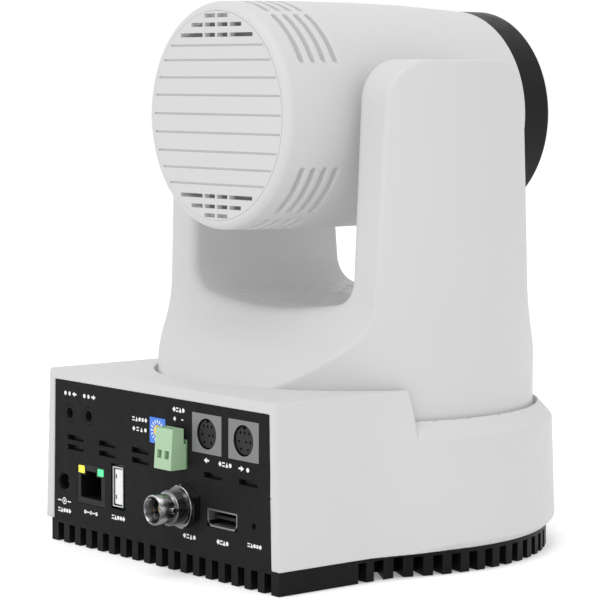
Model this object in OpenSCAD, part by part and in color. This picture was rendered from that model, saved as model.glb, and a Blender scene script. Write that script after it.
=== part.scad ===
// Motorised pan, tilt and zoom camera.
// Origin: the pan axis at the resting plane. +Z up, the lens looks along -Y, the connector panel faces +Y.

/* [Base housing] */
// Radius of the round front at its widest
front_r = 71; // [70.6:0.1:71.4]
// Distance from the pan axis to the rear face
rear_y = 79.5; // [79:0.1:80]
// Half width of the rear block at the bottom of the housing
rear_half_w = 62.8; // [62.6:0.1:63]
// Half width of the rear block at its top deck
deck_half_w = 60.3; // [60.1:0.1:60.5]
// Height of the top deck
deck_z = 58.8; // [58.6:0.1:59.2]
// Thickness of the moulded walls
wall = 2.4; // [2.2:0.1:2.6]

/* [Yoke] */
// Radius of the turning yoke
yoke_r = 63.2; // [62.6:0.1:63.4]
// Height of the top of the arms
arm_top_z = 162; // [161:0.1:163]
// Half width of the gap between the arms
gap_half_w = 41; // [40.6:0.1:41.4]
// Height of the tilt axis
tilt_z = 143.8; // [143.8:0.1:144.4]

/* [Head] */
// Largest radius of the camera head
head_r = 37.3; // [36.9:0.1:37.4]
// Rear face of the head, measured from the tilt axis
head_rear_y = 55.4; // [55:0.1:55.6]
// Front edge of the black hood, measured from the tilt axis
hood_front_y = 60.6; // [59.8:0.1:60.8]

/* [Hidden] */
$fn = 96;

// Colours
white_plastic = [0.85, 0.85, 0.84];
black_paint = [0.10, 0.10, 0.10];
steel = [0.72, 0.73, 0.75];
dark_plastic = [0.13, 0.13, 0.14];
board_green = [0.05, 0.32, 0.18];

// Clearances
seam = 0.12;      // between two fixed covers
running = 0.05;   // a shaft in its hole
far = 200;        // longer than anything that is cut

// Base housing levels
skirt_z = 7.75;
skirt_chamfer = 2.6;
ledge_r = front_r - 1.2;
ledge_z = 43.6;
pocket_r = yoke_r + 1.3;
pocket_floor_z = 44;
pocket_rim_z = 49.4;
step_y = 25.5;
deck_wall = 3.6;
floor_wall = 2.5;
side_wall = 2.6;

// Base plate
plate_z = 0.15;
plate_top_z = skirt_z - 0.05;
plate_r = 68.2;
plate_half_w = 60.9;
plate_rear_y = rear_y - 1.2;
fin_top_z = 6.4;
rear_fin_pitch = 6.53;
rear_fin_count = 17;
rear_gap_w = 3.3;
rear_gap_depth = 12;
ring_fin_step = 5.68;
ring_gap_angle = 2.8;
ring_fin_start = 57.88;
ring_gap_depth = 9;
side_gap_y = 45;
foot_r = 5.5;
foot_rear_at = [46, 38];
foot_front_at = [50, -20];
pad_r = 17;
insert_r = 6;
insert_h = 6.5;
socket_r = 2.6;
socket_depth = 6;
bracket_half_x = 35;
bracket_half_y = 25;
bracket_hole_r = 1.25;
bracket_depth = 5.5;
screw_r = 1.5;
screw_head_r = 2.8;
screw_len = 10;
screw_rear_at = [50, 56];
screw_front_at = [38, -40];
post_r = 3.4;

// Rear panel
panel_y = rear_y - 0.3;
panel_t = 1.5;
panel_top_z = deck_z - deck_wall - seam;
panel_low_half_w = 58.2;
panel_top_half_w = 57.1;
panel_rim_y = rear_y - 6;
slot_h = 1.8;
slot_half_w = 4.6;
low_row_z = 33.1;
high_row_z = 36.4;
paired_slot_x = [45.4, 27.3, 8.9];
single_slot_x = [-29.5, -47.0];

// Connector centres on the rear panel, as [x, z]
line_in_at = [48.8, 44.5];
line_out_at = [37.8, 44.5];
switch_at = [-0.5, 44.0];
terminal_x = -11.6;
serial_in_at = [-26.4, 45.9];
serial_out_at = [-44.8, 45.9];
dc_at = [52.1, 21.0];
lan_at = [36.65, 21.7];
usb_at = [21.05, 23.1];
bnc_at = [-16.8, 22.2];
hdmi_at = [-34.0, 20.0];
restore_at = [-49.8, 20.2];

// Connector sizes
jack_bore_r = 1.8;
jack_nose_r = 3;
jack_body = [6.6, 13, 7.6];
switch_size = [8.3, 6.2, 8.3];
rotor_r = 1.9;
din_plate = [14.8, 12.4];
din_r = 4.8;
din_depth = 10.5;
dc_bore_r = 2.75;
dc_pin_r = 1.05;
lan_size = [15.7, 21, 13.2];
usb_shell = [5.7, 17, 13.1];
usb_cut = [7.9, 14.9];
hdmi_shell = [15.0, 12, 5.6];
hdmi_mouth = [14.0, 4.55];
bnc_r = 4.8;
bnc_bore_r = 4.1;
bnc_len = 14;
bnc_neck_r = 4.6;
bnc_collar_len = 3.4;
bnc_thread_r = 5.6;
nut_corner_r = 7.15;
nut_t = 3;

// Terminal block
plug_half_w = 4.4;
plug_low_z = 33.6;
plug_high_z = 46.5;
plug_step_z = 41.6;
plug_depth = 6;
terminal_pitch = 3.81;

// Boards
board_t = 1.6;
main_board_z = 13.2;
io_board_z = 37.4;
board_end_y = 77;

// Pan drive
bearing_out_r = 18.5;
bearing_in_r = 12.5;
bearing_mid_r = 15.5;
pan_bearing_z = 34.2;
pan_bearing_h = 7;
spindle_bore_r = 8;
pan_pulley_r = 22;
pan_pinion_r = 4.4;
pan_pulley_z = 27;
pan_pulley_h = 6;
pan_motor_r = 17.5;
pan_motor_at = [-37, -10];
pan_motor_h = 16;
belt_t = 1.2;
belt_gap = 0.3;

// Yoke
turntable_z = 46;
turntable_t = 3;
yoke_foot_z = 45.4;
rear_corner_r = 13.5;
rear_corner_y = 17.4;
front_corner_r = 17;
front_corner_y = -9.87;
saddle_r = 190;
saddle_z = 81.1;
gap_fillet_r = 9;
head_sweep_r = 66;
frame_x = 45.2;
frame_t = 2;
frame_half_y = 12;
frame_top_z = 157;

// Tilt drive
axle_r = 5;
tilt_bearing_r = 8;
tilt_bearing_w = 4;
drive_x = 50.6;
drive_w = 4.8;
tilt_pulley_r = 13;
tilt_pinion_r = 2.6;
tilt_motor_z = 63;
tilt_motor_r = 11.4;
tilt_shaft_r = 2;
hub_r = 16;

// Head
hood_joint_y = 48.8;
head_wall = 2.4;
cap_r = 33.6;
cap_t = 2.2;
vent_y = [33.0, 37.6, 42.1, 46.6];
vent_w = 2;
vent_depth = 1.6;
vent_arcs = [[8, 24], [30.5, 61], [117, 145], [154, 167]];
groove_z = [22.6, 17.9, 12.3, 6.6, 0.5, -5.5, -11.5, -16.9, -22.0];
groove_w = 0.7;
groove_depth = 0.5;
cap_slot_h = 1.3;
cap_slot_gap = 1;
cap_slot_z = [32.1, 29.2, 25.9];
lens_r = 20;
glass_r = 22;
rod_r = 0.8;
rod_x = 14;
optic_r = 12;
zoom_y = -32;
focus_y = -12;

// ---------- helpers ----------

// A bar along Y from y0 to y1 with a round section at [x, z]
module rod_y(at, r, y0, y1) {
    translate([at[0], y1, at[1]]) rotate([90, 0, 0]) cylinder(r = r, h = y1 - y0);
}

// A bar along X from x0 to x1 with a round section at [y, z]
module rod_x_axis(at, r, x0, x1) {
    translate([x0, at[0], at[1]]) rotate([0, 90, 0]) cylinder(r = r, h = x1 - x0);
}

// A block centred on [x, z] that runs back from y1 by its depth, size is [x, y, z]
module block_y(at, size, y1) {
    translate([at[0] - size[0] / 2, y1 - size[1], at[1] - size[2] / 2]) cube(size);
}

// An outline in X and Z, drawn as a slab from y0 to y1
module slab_y(y0, y1) {
    translate([0, y1, 0]) rotate([90, 0, 0]) linear_extrude(y1 - y0) children();
}

// A turned piece about the lens axis: outline points are [radius, y]
module turned_head(points) {
    translate([0, 0, tilt_z]) rotate([-90, 0, 0]) rotate_extrude($fn = 128) polygon(points);
}

// Outline of a loop around wheels of radius r1 at the origin and r2 at distance d along X
function loop_points(r1, r2, d) =
    let (a = acos((r1 - r2) / d), n = 40)
    concat([for (i = [0 : n]) let (t = a + (360 - 2 * a) * i / n) [r1 * cos(t), r1 * sin(t)]],
           [for (i = [0 : n]) let (t = -a + 2 * a * i / n) [d + r2 * cos(t), r2 * sin(t)]]);

// A closed flat belt of height h around the same two wheels
module belt(r1, r2, d, h) {
    linear_extrude(h) difference() {
        polygon(loop_points(r1 + belt_gap + belt_t, r2 + belt_gap + belt_t, d));
        polygon(loop_points(r1 + belt_gap, r2 + belt_gap, d));
    }
}

// A flat ring or wheel
module ring(r_out, r_in, h) difference() {
    cylinder(r = r_out, h = h);
    translate([0, 0, -1]) cylinder(r = r_in, h = h + 2);
}

// ---------- base ----------

module base_outline_block(half_w, y0, y1, z0, z1) {
    translate([-half_w, y0, z0]) cube([2 * half_w, y1 - y0, z1 - z0]);
}

module base_plate() color(black_paint) difference() {
    union() {
        translate([0, 0, plate_z]) cylinder(r = plate_r, h = plate_top_z - plate_z, $fn = 180);
        base_outline_block(plate_half_w, 10, plate_rear_y, plate_z, plate_top_z);
        cylinder(r = pad_r, h = 2);
    }
    // gaps between the rear fins
    for (i = [0 : rear_fin_count])
        translate([(i - rear_fin_count / 2) * rear_fin_pitch - rear_gap_w / 2, plate_rear_y - rear_gap_depth, -1])
            cube([rear_gap_w, rear_gap_depth + 5, fin_top_z + 1]);
    // one more gap in each straight side
    for (s = [-1, 1])
        translate([s * plate_half_w - ring_gap_depth, side_gap_y - rear_gap_w / 2, -1])
            cube([2 * ring_gap_depth, rear_gap_w, fin_top_z + 1]);
    // gaps between the fins of the round front
    for (a = [ring_fin_start : ring_fin_step : 360 - ring_fin_start])
        rotate([0, 0, a + 90]) translate([plate_r - ring_gap_depth, -plate_r * sin(ring_gap_angle / 2), -1])
            cube([30, 2 * plate_r * sin(ring_gap_angle / 2), fin_top_z + 1]);
    translate([0, 0, -1]) cylinder(r = insert_r + running, h = insert_h + 1 + running);
    for (p = bracket_points())
        translate([p[0], p[1], -1]) cylinder(r = bracket_hole_r, h = bracket_depth + 1);
    for (p = screw_points()) {
        translate([p[0], p[1], -1]) cylinder(r = screw_r + 0.1, h = 12);
        translate([p[0], p[1], -1]) cylinder(r = screw_head_r + 0.3, h = 5);
    }
    for (p = foot_points())
        translate([p[0], p[1], -1]) cylinder(r = foot_r + 0.1, h = 2.6);
}

function bracket_points() = [for (x = [-1, 1], y = [-1, 1]) [x * bracket_half_x, y * bracket_half_y]];
function screw_points() = [for (p = [screw_rear_at, screw_front_at], x = [-1, 1]) [x * p[0], p[1]]];
function foot_points() = [for (p = [foot_rear_at, foot_front_at], x = [-1, 1]) [x * p[0], p[1]]];

module rubber_feet() color([0.06, 0.06, 0.06]) for (p = foot_points())
    translate([p[0], p[1], 0]) cylinder(r = foot_r, h = 1.5);

module base_screws() color(steel) for (p = screw_points()) translate([p[0], p[1], 0]) difference() {
    union() {
        translate([0, 0, 2.0]) cylinder(r = screw_head_r, h = 1.9);
        translate([0, 0, 3.8]) cylinder(r = screw_r, h = screw_len);
    }
    translate([0, 0, 1.9]) cylinder(r = 1.2, h = 1.2, $fn = 6);
}

module tripod_insert() color([0.75, 0.62, 0.35]) difference() {
    cylinder(r = insert_r, h = insert_h);
    translate([0, 0, -1]) cylinder(r = socket_r, h = socket_depth + 1);
}

// Outline of the rear block in X and Z between two levels, inset by t
module block_outline(t, z0, z1) {
    lean = (rear_half_w - deck_half_w) / (deck_z - skirt_z);
    w0 = rear_half_w - (z0 - skirt_z) * lean - t;
    w1 = rear_half_w - (z1 - skirt_z) * lean - t;
    polygon([[-w0, z0], [w0, z0], [w1, z1], [-w1, z1]]);
}

// The wall between the round front and the tall rear block leans in from the ledge to the deck
module step_flare() {
    hull() {
        translate([0, 0, deck_z - 0.1]) base_outline_block(deck_half_w, step_y, step_y + 12, 0, 0.1);
        translate([0, 0, ledge_z - 0.1]) intersection() {
            cylinder(r = ledge_r, h = 0.1, $fn = 180);
            base_outline_block(ledge_r, step_y, step_y + 12, 0, 0.1);
        }
    }
}

module housing_solid() {
    translate([0, 0, skirt_z]) cylinder(r1 = front_r - skirt_chamfer, r2 = front_r, h = skirt_chamfer, $fn = 180);
    translate([0, 0, skirt_z + skirt_chamfer])
        cylinder(r1 = front_r, r2 = ledge_r, h = ledge_z - skirt_z - skirt_chamfer, $fn = 180);
    translate([0, 0, ledge_z]) cylinder(r1 = ledge_r, r2 = pocket_r, h = pocket_rim_z - ledge_z, $fn = 180);
    slab_y(20, rear_y) block_outline(0, skirt_z, ledge_z);
    slab_y(step_y, rear_y) block_outline(0, ledge_z - 1, deck_z);
    step_flare();
}

module housing() color(white_plastic) difference() {
    union() {
        difference() {
            housing_solid();
            // pocket that the yoke turns in
            translate([0, 0, pocket_floor_z]) cylinder(r = pocket_r, h = far, $fn = 180);
            // room inside, below the pocket floor
            translate([0, 0, -1]) cylinder(r = front_r - skirt_chamfer - wall, h = 30, $fn = 180);
            translate([0, 0, 28])
                cylinder(r = ledge_r - wall, h = pocket_floor_z - floor_wall - 28, $fn = 180);
            slab_y(20, panel_rim_y) block_outline(side_wall, skirt_z - 2, pocket_floor_z - floor_wall);
            slab_y(panel_rim_y - 1, rear_y + 5) panel_outline(seam, skirt_z - 2);
            // room behind the pocket wall, under the deck
            difference() {
                slab_y(step_y + 10, panel_rim_y)
                    block_outline(side_wall, pocket_floor_z - floor_wall - 1, deck_z - deck_wall);
                translate([0, 0, 30]) cylinder(r = pocket_r + 2, h = 40, $fn = 180);
            }
        }
        // seat of the pan bearing
        translate([0, 0, pan_bearing_z - 0.4])
            cylinder(r = bearing_out_r + 3, h = pocket_floor_z - pan_bearing_z - 1);
        // posts for the base screws: the rear ones reach the deck, the front ones the pocket floor
        for (p = screw_points()) {
            top_z = p[1] > 0 ? deck_z - deck_wall : pocket_floor_z - floor_wall;
            translate([p[0], p[1], plate_top_z + 0.1]) cylinder(r = post_r, h = top_z - plate_top_z);
        }
    }
    translate([0, 0, pan_bearing_z - 1]) cylinder(r = bearing_out_r + 0.02, h = pan_bearing_h + 1);
    translate([0, 0, 30]) cylinder(r = bearing_mid_r, h = 20);
    for (p = screw_points()) translate([p[0], p[1], 0]) cylinder(r = screw_r + 0.05, h = 14.5);
    ir_window_shape(0.1);
}

// The dark window lies in the round front wall
module ir_window_shape(grow) {
    translate([0, 0, 25]) rotate([90, 0, 0]) linear_extrude(far) {
        for (x = [-1, 1]) translate([x * 9, 0]) circle(r = 5 + grow);
        translate([-9, -5 - grow]) square([18, 10 + 2 * grow]);
    }
}

module ir_window() color([0.12, 0.02, 0.03]) intersection() {
    difference() {
        translate([0, 0, skirt_z + skirt_chamfer])
            cylinder(r1 = front_r, r2 = ledge_r, h = ledge_z - skirt_z - skirt_chamfer, $fn = 180);
        cylinder(r = front_r - skirt_chamfer - wall, h = 60, $fn = 180);
    }
    ir_window_shape(0);
}

// Outline of the rear panel in X and Z, from level z0 to its top edge
module panel_outline(grow, z0) {
    low = panel_low_half_w + grow;
    top = panel_top_half_w + grow;
    polygon([[-low, z0], [low, z0], [top, panel_top_z + grow], [-top, panel_top_z + grow]]);
}

module panel_hole(at, r) rod_y(at, r, panel_y - 5, panel_y + 5);
module panel_window(at, w, h) block_y(at, [w, 12, h], panel_y + 5);

module rear_panel() color(black_paint) difference() {
    slab_y(panel_y - panel_t, panel_y) panel_outline(0, plate_top_z + 0.05);
    for (x = paired_slot_x, z = [low_row_z, high_row_z]) panel_window([x, z], 2 * slot_half_w, slot_h);
    for (x = single_slot_x) panel_window([x, low_row_z], 2 * slot_half_w, slot_h);
    panel_hole(line_in_at, jack_nose_r + 0.15);
    panel_hole(line_out_at, jack_nose_r + 0.15);
    panel_hole(dc_at, 3.2);
    panel_hole(restore_at, 1);
    panel_hole(bnc_at, bnc_thread_r + 0.2);
    panel_window(switch_at, switch_size[0] + 0.3, switch_size[2] + 0.3);
    panel_window([terminal_x, 38.3], 9.2, 9.5);
    panel_window(serial_in_at, din_plate[0] + 0.2, din_plate[1] + 0.2);
    panel_window(serial_out_at, din_plate[0] + 0.2, din_plate[1] + 0.2);
    panel_window(lan_at, lan_size[0] + 0.3, lan_size[2] + 0.3);
    panel_window(usb_at, usb_cut[0], usb_cut[1]);
    panel_window(hdmi_at, hdmi_shell[0] + 0.3, hdmi_shell[2] + 0.3);
}

// A circuit board with holes around the housing's screw posts
module board(half_w, y0, z) color(board_green) difference() {
    translate([-half_w, y0, z]) cube([2 * half_w, board_end_y - y0, board_t]);
    for (p = screw_points()) translate([p[0], p[1], z - 1]) cylinder(r = post_r + 0.4, h = board_t + 2);
}
module main_board() board(57, 34, main_board_z);
module connector_board() color(board_green) difference() {
    board(56, 57, io_board_z);
    // room for the terminal header
    translate([terminal_x - 5.2, panel_y - 9.7, io_board_z - 1]) cube([10.4, 20, board_t + 2]);
}

module line_jack(at) color(dark_plastic) difference() {
    union() {
        block_y(at, jack_body, panel_y - panel_t - 0.1);
        rod_y(at, jack_nose_r, panel_y - panel_t - 1, panel_y);
    }
    rod_y(at, jack_bore_r, panel_y - 16, panel_y + 1);
}
module line_in_jack() line_jack(line_in_at);
module line_out_jack() line_jack(line_out_at);

module select_switch_body() color([0.12, 0.35, 0.80]) difference() {
    block_y(switch_at, switch_size, panel_y);
    rod_y(switch_at, rotor_r + running, panel_y - 3, panel_y + 1);
}

module select_rotor() color([0.85, 0.70, 0.20]) difference() {
    rod_y(switch_at, rotor_r, panel_y - 2.9, panel_y + 0.1);
    block_y(switch_at, [0.7, 0.8, 3.4], panel_y + 0.2);
}

module terminal_header() color([0.35, 0.62, 0.38]) {
    difference() {
        block_y([terminal_x, 38.3], [8.9, 9.2, 9.2], panel_y);
        block_y([terminal_x, 38.3], [7.6, 6.2, 7.6], panel_y + 0.1);
    }
    for (s = [-1, 1]) rod_y([terminal_x + s * terminal_pitch / 2, 38.3], 0.5, panel_y - 6.6, panel_y - 1.5);
}

module terminal_plug() color([0.62, 0.85, 0.60]) difference() {
    union() {
        translate([terminal_x - plug_half_w, panel_y + 0.3, 0]) rotate([90, 0, 90])
            linear_extrude(2 * plug_half_w) polygon([[0, plug_low_z], [plug_depth, plug_low_z],
                     [plug_depth - 0.8, plug_high_z], [0.9, plug_high_z], [0.9, plug_step_z], [0, plug_step_z]]);
        block_y([terminal_x, 38.3], [7, 6, 7], panel_y + 0.4);
    }
    for (s = [-1, 1]) {
        rod_y([terminal_x + s * terminal_pitch / 2, 38.3], 0.8, panel_y - 7, panel_y - 0.6);
        block_y([terminal_x + s * terminal_pitch / 2, plug_low_z + 4.7], [2.2, 4, 2.6], panel_y + plug_depth + 1);
        translate([terminal_x + s * terminal_pitch / 2, panel_y + 3.2, plug_high_z - 4]) cylinder(r = 1.35, h = 5);
    }
}

module terminal_screws() color(steel) for (s = [-1, 1])
    translate([terminal_x + s * terminal_pitch / 2, panel_y + 3.2, plug_high_z - 3.9]) difference() {
        cylinder(r = 1.3, h = 2.6);
        translate([-2, -0.25, 2]) cube([4, 0.5, 1]);
    }

module serial_socket(at) color([0.45, 0.45, 0.46]) difference() {
    union() {
        block_y(at, [din_plate[0], 1.8, din_plate[1]], panel_y + 0.15);
        block_y(at, [13, din_depth, 12], panel_y - 1);
    }
    difference() {
        rod_y(at, din_r, panel_y - 6, panel_y + 1);
        rod_y(at, din_r - 0.45, panel_y - 7, panel_y - 0.3);
    }
    block_y([at[0], at[1] + din_r - 0.8], [1.3, 5, 1], panel_y + 0.5);
    for (p = din_pins()) rod_y([at[0] + p[0], at[1] + p[1]], 0.45, panel_y - 7, panel_y);
}
function din_pins() = concat([for (x = [-2, 0, 2]) [x, 2.3]], [for (x = [-2.7, -0.8, 2.7]) [x, -0.4]],
                             [for (x = [-1.7, 1.7]) [x, -2.7]]);
module serial_in_socket() serial_socket(serial_in_at);
module serial_out_socket() serial_socket(serial_out_at);

module dc_jack() color(dark_plastic) {
    difference() {
        union() {
            block_y([dc_at[0], dc_at[1] - 0.6], [9, 12.6, 11], panel_y - panel_t - 0.1);
            rod_y(dc_at, 3.1, panel_y - 3, panel_y - 0.3);
        }
        rod_y(dc_at, dc_bore_r, panel_y - 11, panel_y + 1);
    }
    rod_y(dc_at, dc_pin_r, panel_y - 12, panel_y - 2);
}

module lan_jack() color([0.17, 0.17, 0.18]) difference() {
    block_y(lan_at, lan_size, panel_y - 0.1);
    block_y([lan_at[0], lan_at[1] - 0.8], [11.7, 15, 7.6], panel_y + 1);
    block_y([lan_at[0], lan_at[1] + 3.2], [6, 15, 2.6], panel_y + 1);
    for (s = [-1, 1]) block_y([lan_at[0] + s * 5.45, lan_at[1] + 4.7], [3.4, 4, 2.5], panel_y + 1);
}
module lan_led(side) block_y([lan_at[0] + side * 5.45, lan_at[1] + 4.7], [3.2, 2.8, 2.3], panel_y - 0.05);
module lan_led_yellow() color([0.95, 0.85, 0.10]) lan_led(1);
module lan_led_green() color([0.15, 0.80, 0.35]) lan_led(-1);

module usb_port() color(steel) {
    difference() {
        block_y(usb_at, usb_shell, panel_y + 0.1);
        block_y(usb_at, [usb_shell[0] - 0.7, 15, usb_shell[2] - 0.7], panel_y + 1);
    }
    block_y([usb_at[0] - 1.1, usb_at[1]], [1.8, 14, 11.2], panel_y - 0.8);
}

module bnc_barrel() color(steel) difference() {
    union() {
        rod_y(bnc_at, bnc_neck_r, panel_y, panel_y + bnc_len - 1);
        rod_y(bnc_at, bnc_r, panel_y + bnc_len - bnc_collar_len, panel_y + bnc_len);
        rod_y(bnc_at, bnc_thread_r, panel_y - 8, panel_y + 8);
        rod_y(bnc_at, bnc_thread_r + 1.2, panel_y - 8, panel_y - panel_t - 0.02);
        rod_x_axis([panel_y + bnc_len - 4.5, bnc_at[1]], 1, bnc_at[0] - 5.6, bnc_at[0] - 4.2);
        rod_x_axis([panel_y + bnc_len - 4.5, bnc_at[1]], 1, bnc_at[0] + 4.2, bnc_at[0] + 5.6);
    }
    rod_y(bnc_at, bnc_bore_r, panel_y + 4, panel_y + bnc_len + 1);
    rod_y(bnc_at, 2.4, panel_y - 9, panel_y + 5);
}

module bnc_nut() color([0.62, 0.63, 0.65]) difference() {
    translate([bnc_at[0], panel_y + 0.05, bnc_at[1]]) rotate([-90, 30, 0])
        cylinder(r = nut_corner_r, h = nut_t, $fn = 6);
    rod_y(bnc_at, bnc_thread_r + 0.02, panel_y - 1, panel_y + nut_t + 1);
}

module bnc_insulator() color([0.93, 0.92, 0.88]) difference() {
    union() {
        rod_y(bnc_at, 2.35, panel_y - 9, panel_y + 10);
        rod_y(bnc_at, 3.2, panel_y + 5.1, panel_y + 8);
    }
    rod_y(bnc_at, 0.8, panel_y - 10, panel_y + 16);
}

module bnc_contact() color([0.85, 0.68, 0.28]) difference() {
    rod_y(bnc_at, 0.78, panel_y - 12, panel_y + 11);
    rod_y(bnc_at, 0.45, panel_y + 7.5, panel_y + 12);
}

module hdmi_outline(w, h) {
    cut = 0.32 * h;
    translate([hdmi_at[0], hdmi_at[1]])
        polygon([[-w / 2, h / 2], [w / 2, h / 2], [w / 2, -h / 2 + cut], [w / 2 - 1.6, -h / 2],
                 [-w / 2 + 1.6, -h / 2], [-w / 2, -h / 2 + cut]]);
}
module hdmi_port() color([0.30, 0.30, 0.31]) {
    difference() {
        slab_y(panel_y - hdmi_shell[1], panel_y - 0.15) hdmi_outline(hdmi_shell[0], hdmi_shell[2]);
        slab_y(panel_y - hdmi_shell[1] + 1, panel_y + 1) hdmi_outline(hdmi_mouth[0], hdmi_mouth[1]);
    }
    block_y([hdmi_at[0], hdmi_at[1] + 0.35], [10.6, 9.6, 1], panel_y - 1.6);
}

module restore_switch() color(dark_plastic) difference() {
    block_y([restore_at[0], restore_at[1] - 0.6], [6, 3.6, 7.2], panel_y - 3.4);
    rod_y(restore_at, 0.9 + running, panel_y - 6, panel_y - 3);
}
module restore_button() color([0.75, 0.72, 0.65]) rod_y(restore_at, 0.9, panel_y - 5.4, panel_y - 1.7);

// ---------- pan drive ----------

module pan_bearing_outer() color(steel) translate([0, 0, pan_bearing_z])
    ring(bearing_out_r, bearing_mid_r + 0.2, pan_bearing_h - 0.4);

module pan_bearing_inner() color([0.6, 0.61, 0.63]) translate([0, 0, pan_bearing_z])
    ring(bearing_mid_r + 0.14, bearing_in_r, pan_bearing_h - 0.4);

module turntable() color([0.30, 0.31, 0.33]) difference() {
    union() {
        translate([0, 0, turntable_z]) cylinder(r = yoke_r - wall - 1, h = turntable_t, $fn = 180);
        translate([0, 0, pan_pulley_z]) cylinder(r = bearing_in_r - 0.02, h = turntable_z - pan_pulley_z + 1);
        translate([0, 0, pan_bearing_z + pan_bearing_h - 0.3])
            cylinder(r = 14, h = turntable_z - pan_bearing_z - pan_bearing_h + 1);
    }
    translate([0, 0, 0]) cylinder(r = spindle_bore_r, h = 60);
}

module pan_pulley() color([0.70, 0.71, 0.73]) translate([0, 0, pan_pulley_z])
    ring(pan_pulley_r, bearing_in_r, pan_pulley_h);

module pan_motor() color([0.22, 0.22, 0.24])
translate([pan_motor_at[0], pan_motor_at[1], plate_top_z + 0.1]) difference() {
    union() {
        cylinder(r = pan_motor_r, h = pan_motor_h);
        cylinder(r = 5, h = pan_motor_h + 1.6);
    }
    translate([0, 0, 4]) cylinder(r = tilt_shaft_r + running, h = 30);
}

module pan_pinion() color([0.80, 0.66, 0.30]) translate([pan_motor_at[0], pan_motor_at[1], 0]) {
    translate([0, 0, pan_pulley_z]) cylinder(r = pan_pinion_r, h = pan_pulley_h);
    translate([0, 0, plate_top_z + 5]) cylinder(r = tilt_shaft_r, h = pan_pulley_z - plate_top_z - 4);
}

module pan_belt() color([0.08, 0.08, 0.08]) translate([0, 0, pan_pulley_z + 0.7])
    rotate([0, 0, atan2(pan_motor_at[1], pan_motor_at[0])])
        belt(pan_pulley_r, pan_pinion_r, norm(pan_motor_at), pan_pulley_h - 1.2);

// ---------- yoke ----------

// One edge of the arms in Y and Z: a steep line, a hollow curve about centre, then a slope to the rim
function arm_edge(centre, r, a_top, a_low, top_z, inset) =
    let (rr = r + inset,
         up = (top_z - centre[1] - rr * sin(a_top)) / cos(a_top - 180),
         first = [centre[0] + rr * cos(a_top), centre[1] + rr * sin(a_top)],
         last = [centre[0] + rr * cos(a_low), centre[1] + rr * sin(a_low)])
    concat([[first[0] - up * sin(a_top - 180), top_z]],
           [for (i = [0 : 10]) let (a = a_top + (a_low - a_top) * i / 10)
               [centre[0] + rr * cos(a), centre[1] + rr * sin(a)]],
           [[last[0] + 30 * sin(a_low - 180), last[1] - 30 * cos(a_low - 180)]]);

function rear_edge(inset) = arm_edge([55.55, 88.4], 22, 182.5, 229, arm_top_z - rear_corner_r, inset);
function front_edge(inset) =
    [for (p = arm_edge([65.9, 93.1], 34, 185.3, 229, arm_top_z - front_corner_r, inset)) [-p[0], p[1]]];
function reversed(list) = [for (i = [len(list) - 1 : -1 : 0]) list[i]];

module arm_outline(inset) {
    rear = rear_edge(inset);
    front = front_edge(inset);
    lowest = min(rear[len(rear) - 1][1], front[len(front) - 1][1]);
    polygon(concat(rear, [[rear[len(rear) - 1][0], lowest - 20], [front[len(front) - 1][0], lowest - 20]],
                   reversed(front)));
    translate([rear_corner_y, arm_top_z - rear_corner_r]) circle(r = rear_corner_r - inset);
    translate([front_corner_y, arm_top_z - front_corner_r]) circle(r = front_corner_r - inset);
    translate([front_corner_y, arm_top_z - 30]) square([rear_corner_y - front_corner_y, 30 - inset]);
}

module along_x(half) rotate([90, 0, 90]) linear_extrude(2 * half, center = true) children();
module along_y(half) rotate([90, 0, 0]) linear_extrude(2 * half, center = true) children();

// The gap between the arms in X and Z: a shallow curved floor with round corners
module gap_outline(grow) {
    half = gap_half_w;
    corner_x = half - gap_fillet_r;
    floor_c = saddle_z + saddle_r;
    corner_z = floor_c - sqrt(pow(saddle_r - gap_fillet_r, 2) - pow(corner_x, 2));
    touch_x = corner_x * saddle_r / (saddle_r - gap_fillet_r);
    intersection() {
        translate([0, floor_c]) circle(r = saddle_r + grow, $fn = 360);
        translate([-touch_x, 0]) square([2 * touch_x, corner_z]);
    }
    for (s = [-1, 1]) translate([s * corner_x, corner_z]) circle(r = gap_fillet_r + grow);
    translate([-half - grow, corner_z]) square([2 * (half + grow), 100]);
}

// The gap, with a round dish in its floor that lets the rear rim of the head pass
module yoke_gap(grow) {
    along_y(80) gap_outline(grow);
    intersection() {
        translate([0, 0, tilt_z]) sphere(r = head_sweep_r + grow, $fn = 128);
        translate([-40, -40, 70]) cube([80, 80, 18]);
    }
}

module yoke_solid(inset, foot_z) intersection() {
    translate([0, 0, foot_z]) cylinder(r = yoke_r - inset, h = arm_top_z - foot_z, $fn = 180);
    along_x(70) arm_outline(inset);
}

// The front skin of the yoke, a U-shaped band behind the front edge
module front_band(t, side_inset) intersection() {
    difference() {
        yoke_solid(0, yoke_foot_z);
        translate([0, t, 0]) along_x(70)
            polygon(concat(reversed(front_edge(0)), [[front_edge(0)[0][0], far], [60, far], [60, 20], [-90, 20]]));
    }
    cylinder(r = yoke_r - side_inset, h = far, $fn = 180);
    along_y(80) difference() {
        translate([-60, 58]) square([120, 100]);
        gap_outline(side_inset);
    }
}

module yoke_shell() color(white_plastic) difference() {
    yoke_solid(0, yoke_foot_z);
    yoke_gap(0);
    difference() {
        yoke_solid(wall, yoke_foot_z - 3);
        yoke_gap(wall);
    }
    front_band(wall, 1.6);
    rod_x_axis([0, tilt_z], hub_r - 6, -50, 50);
}

module yoke_front_cover() color(white_plastic) difference() {
    front_band(wall - 0.1, 1.7);
    yoke_gap(1.7);
}

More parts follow.
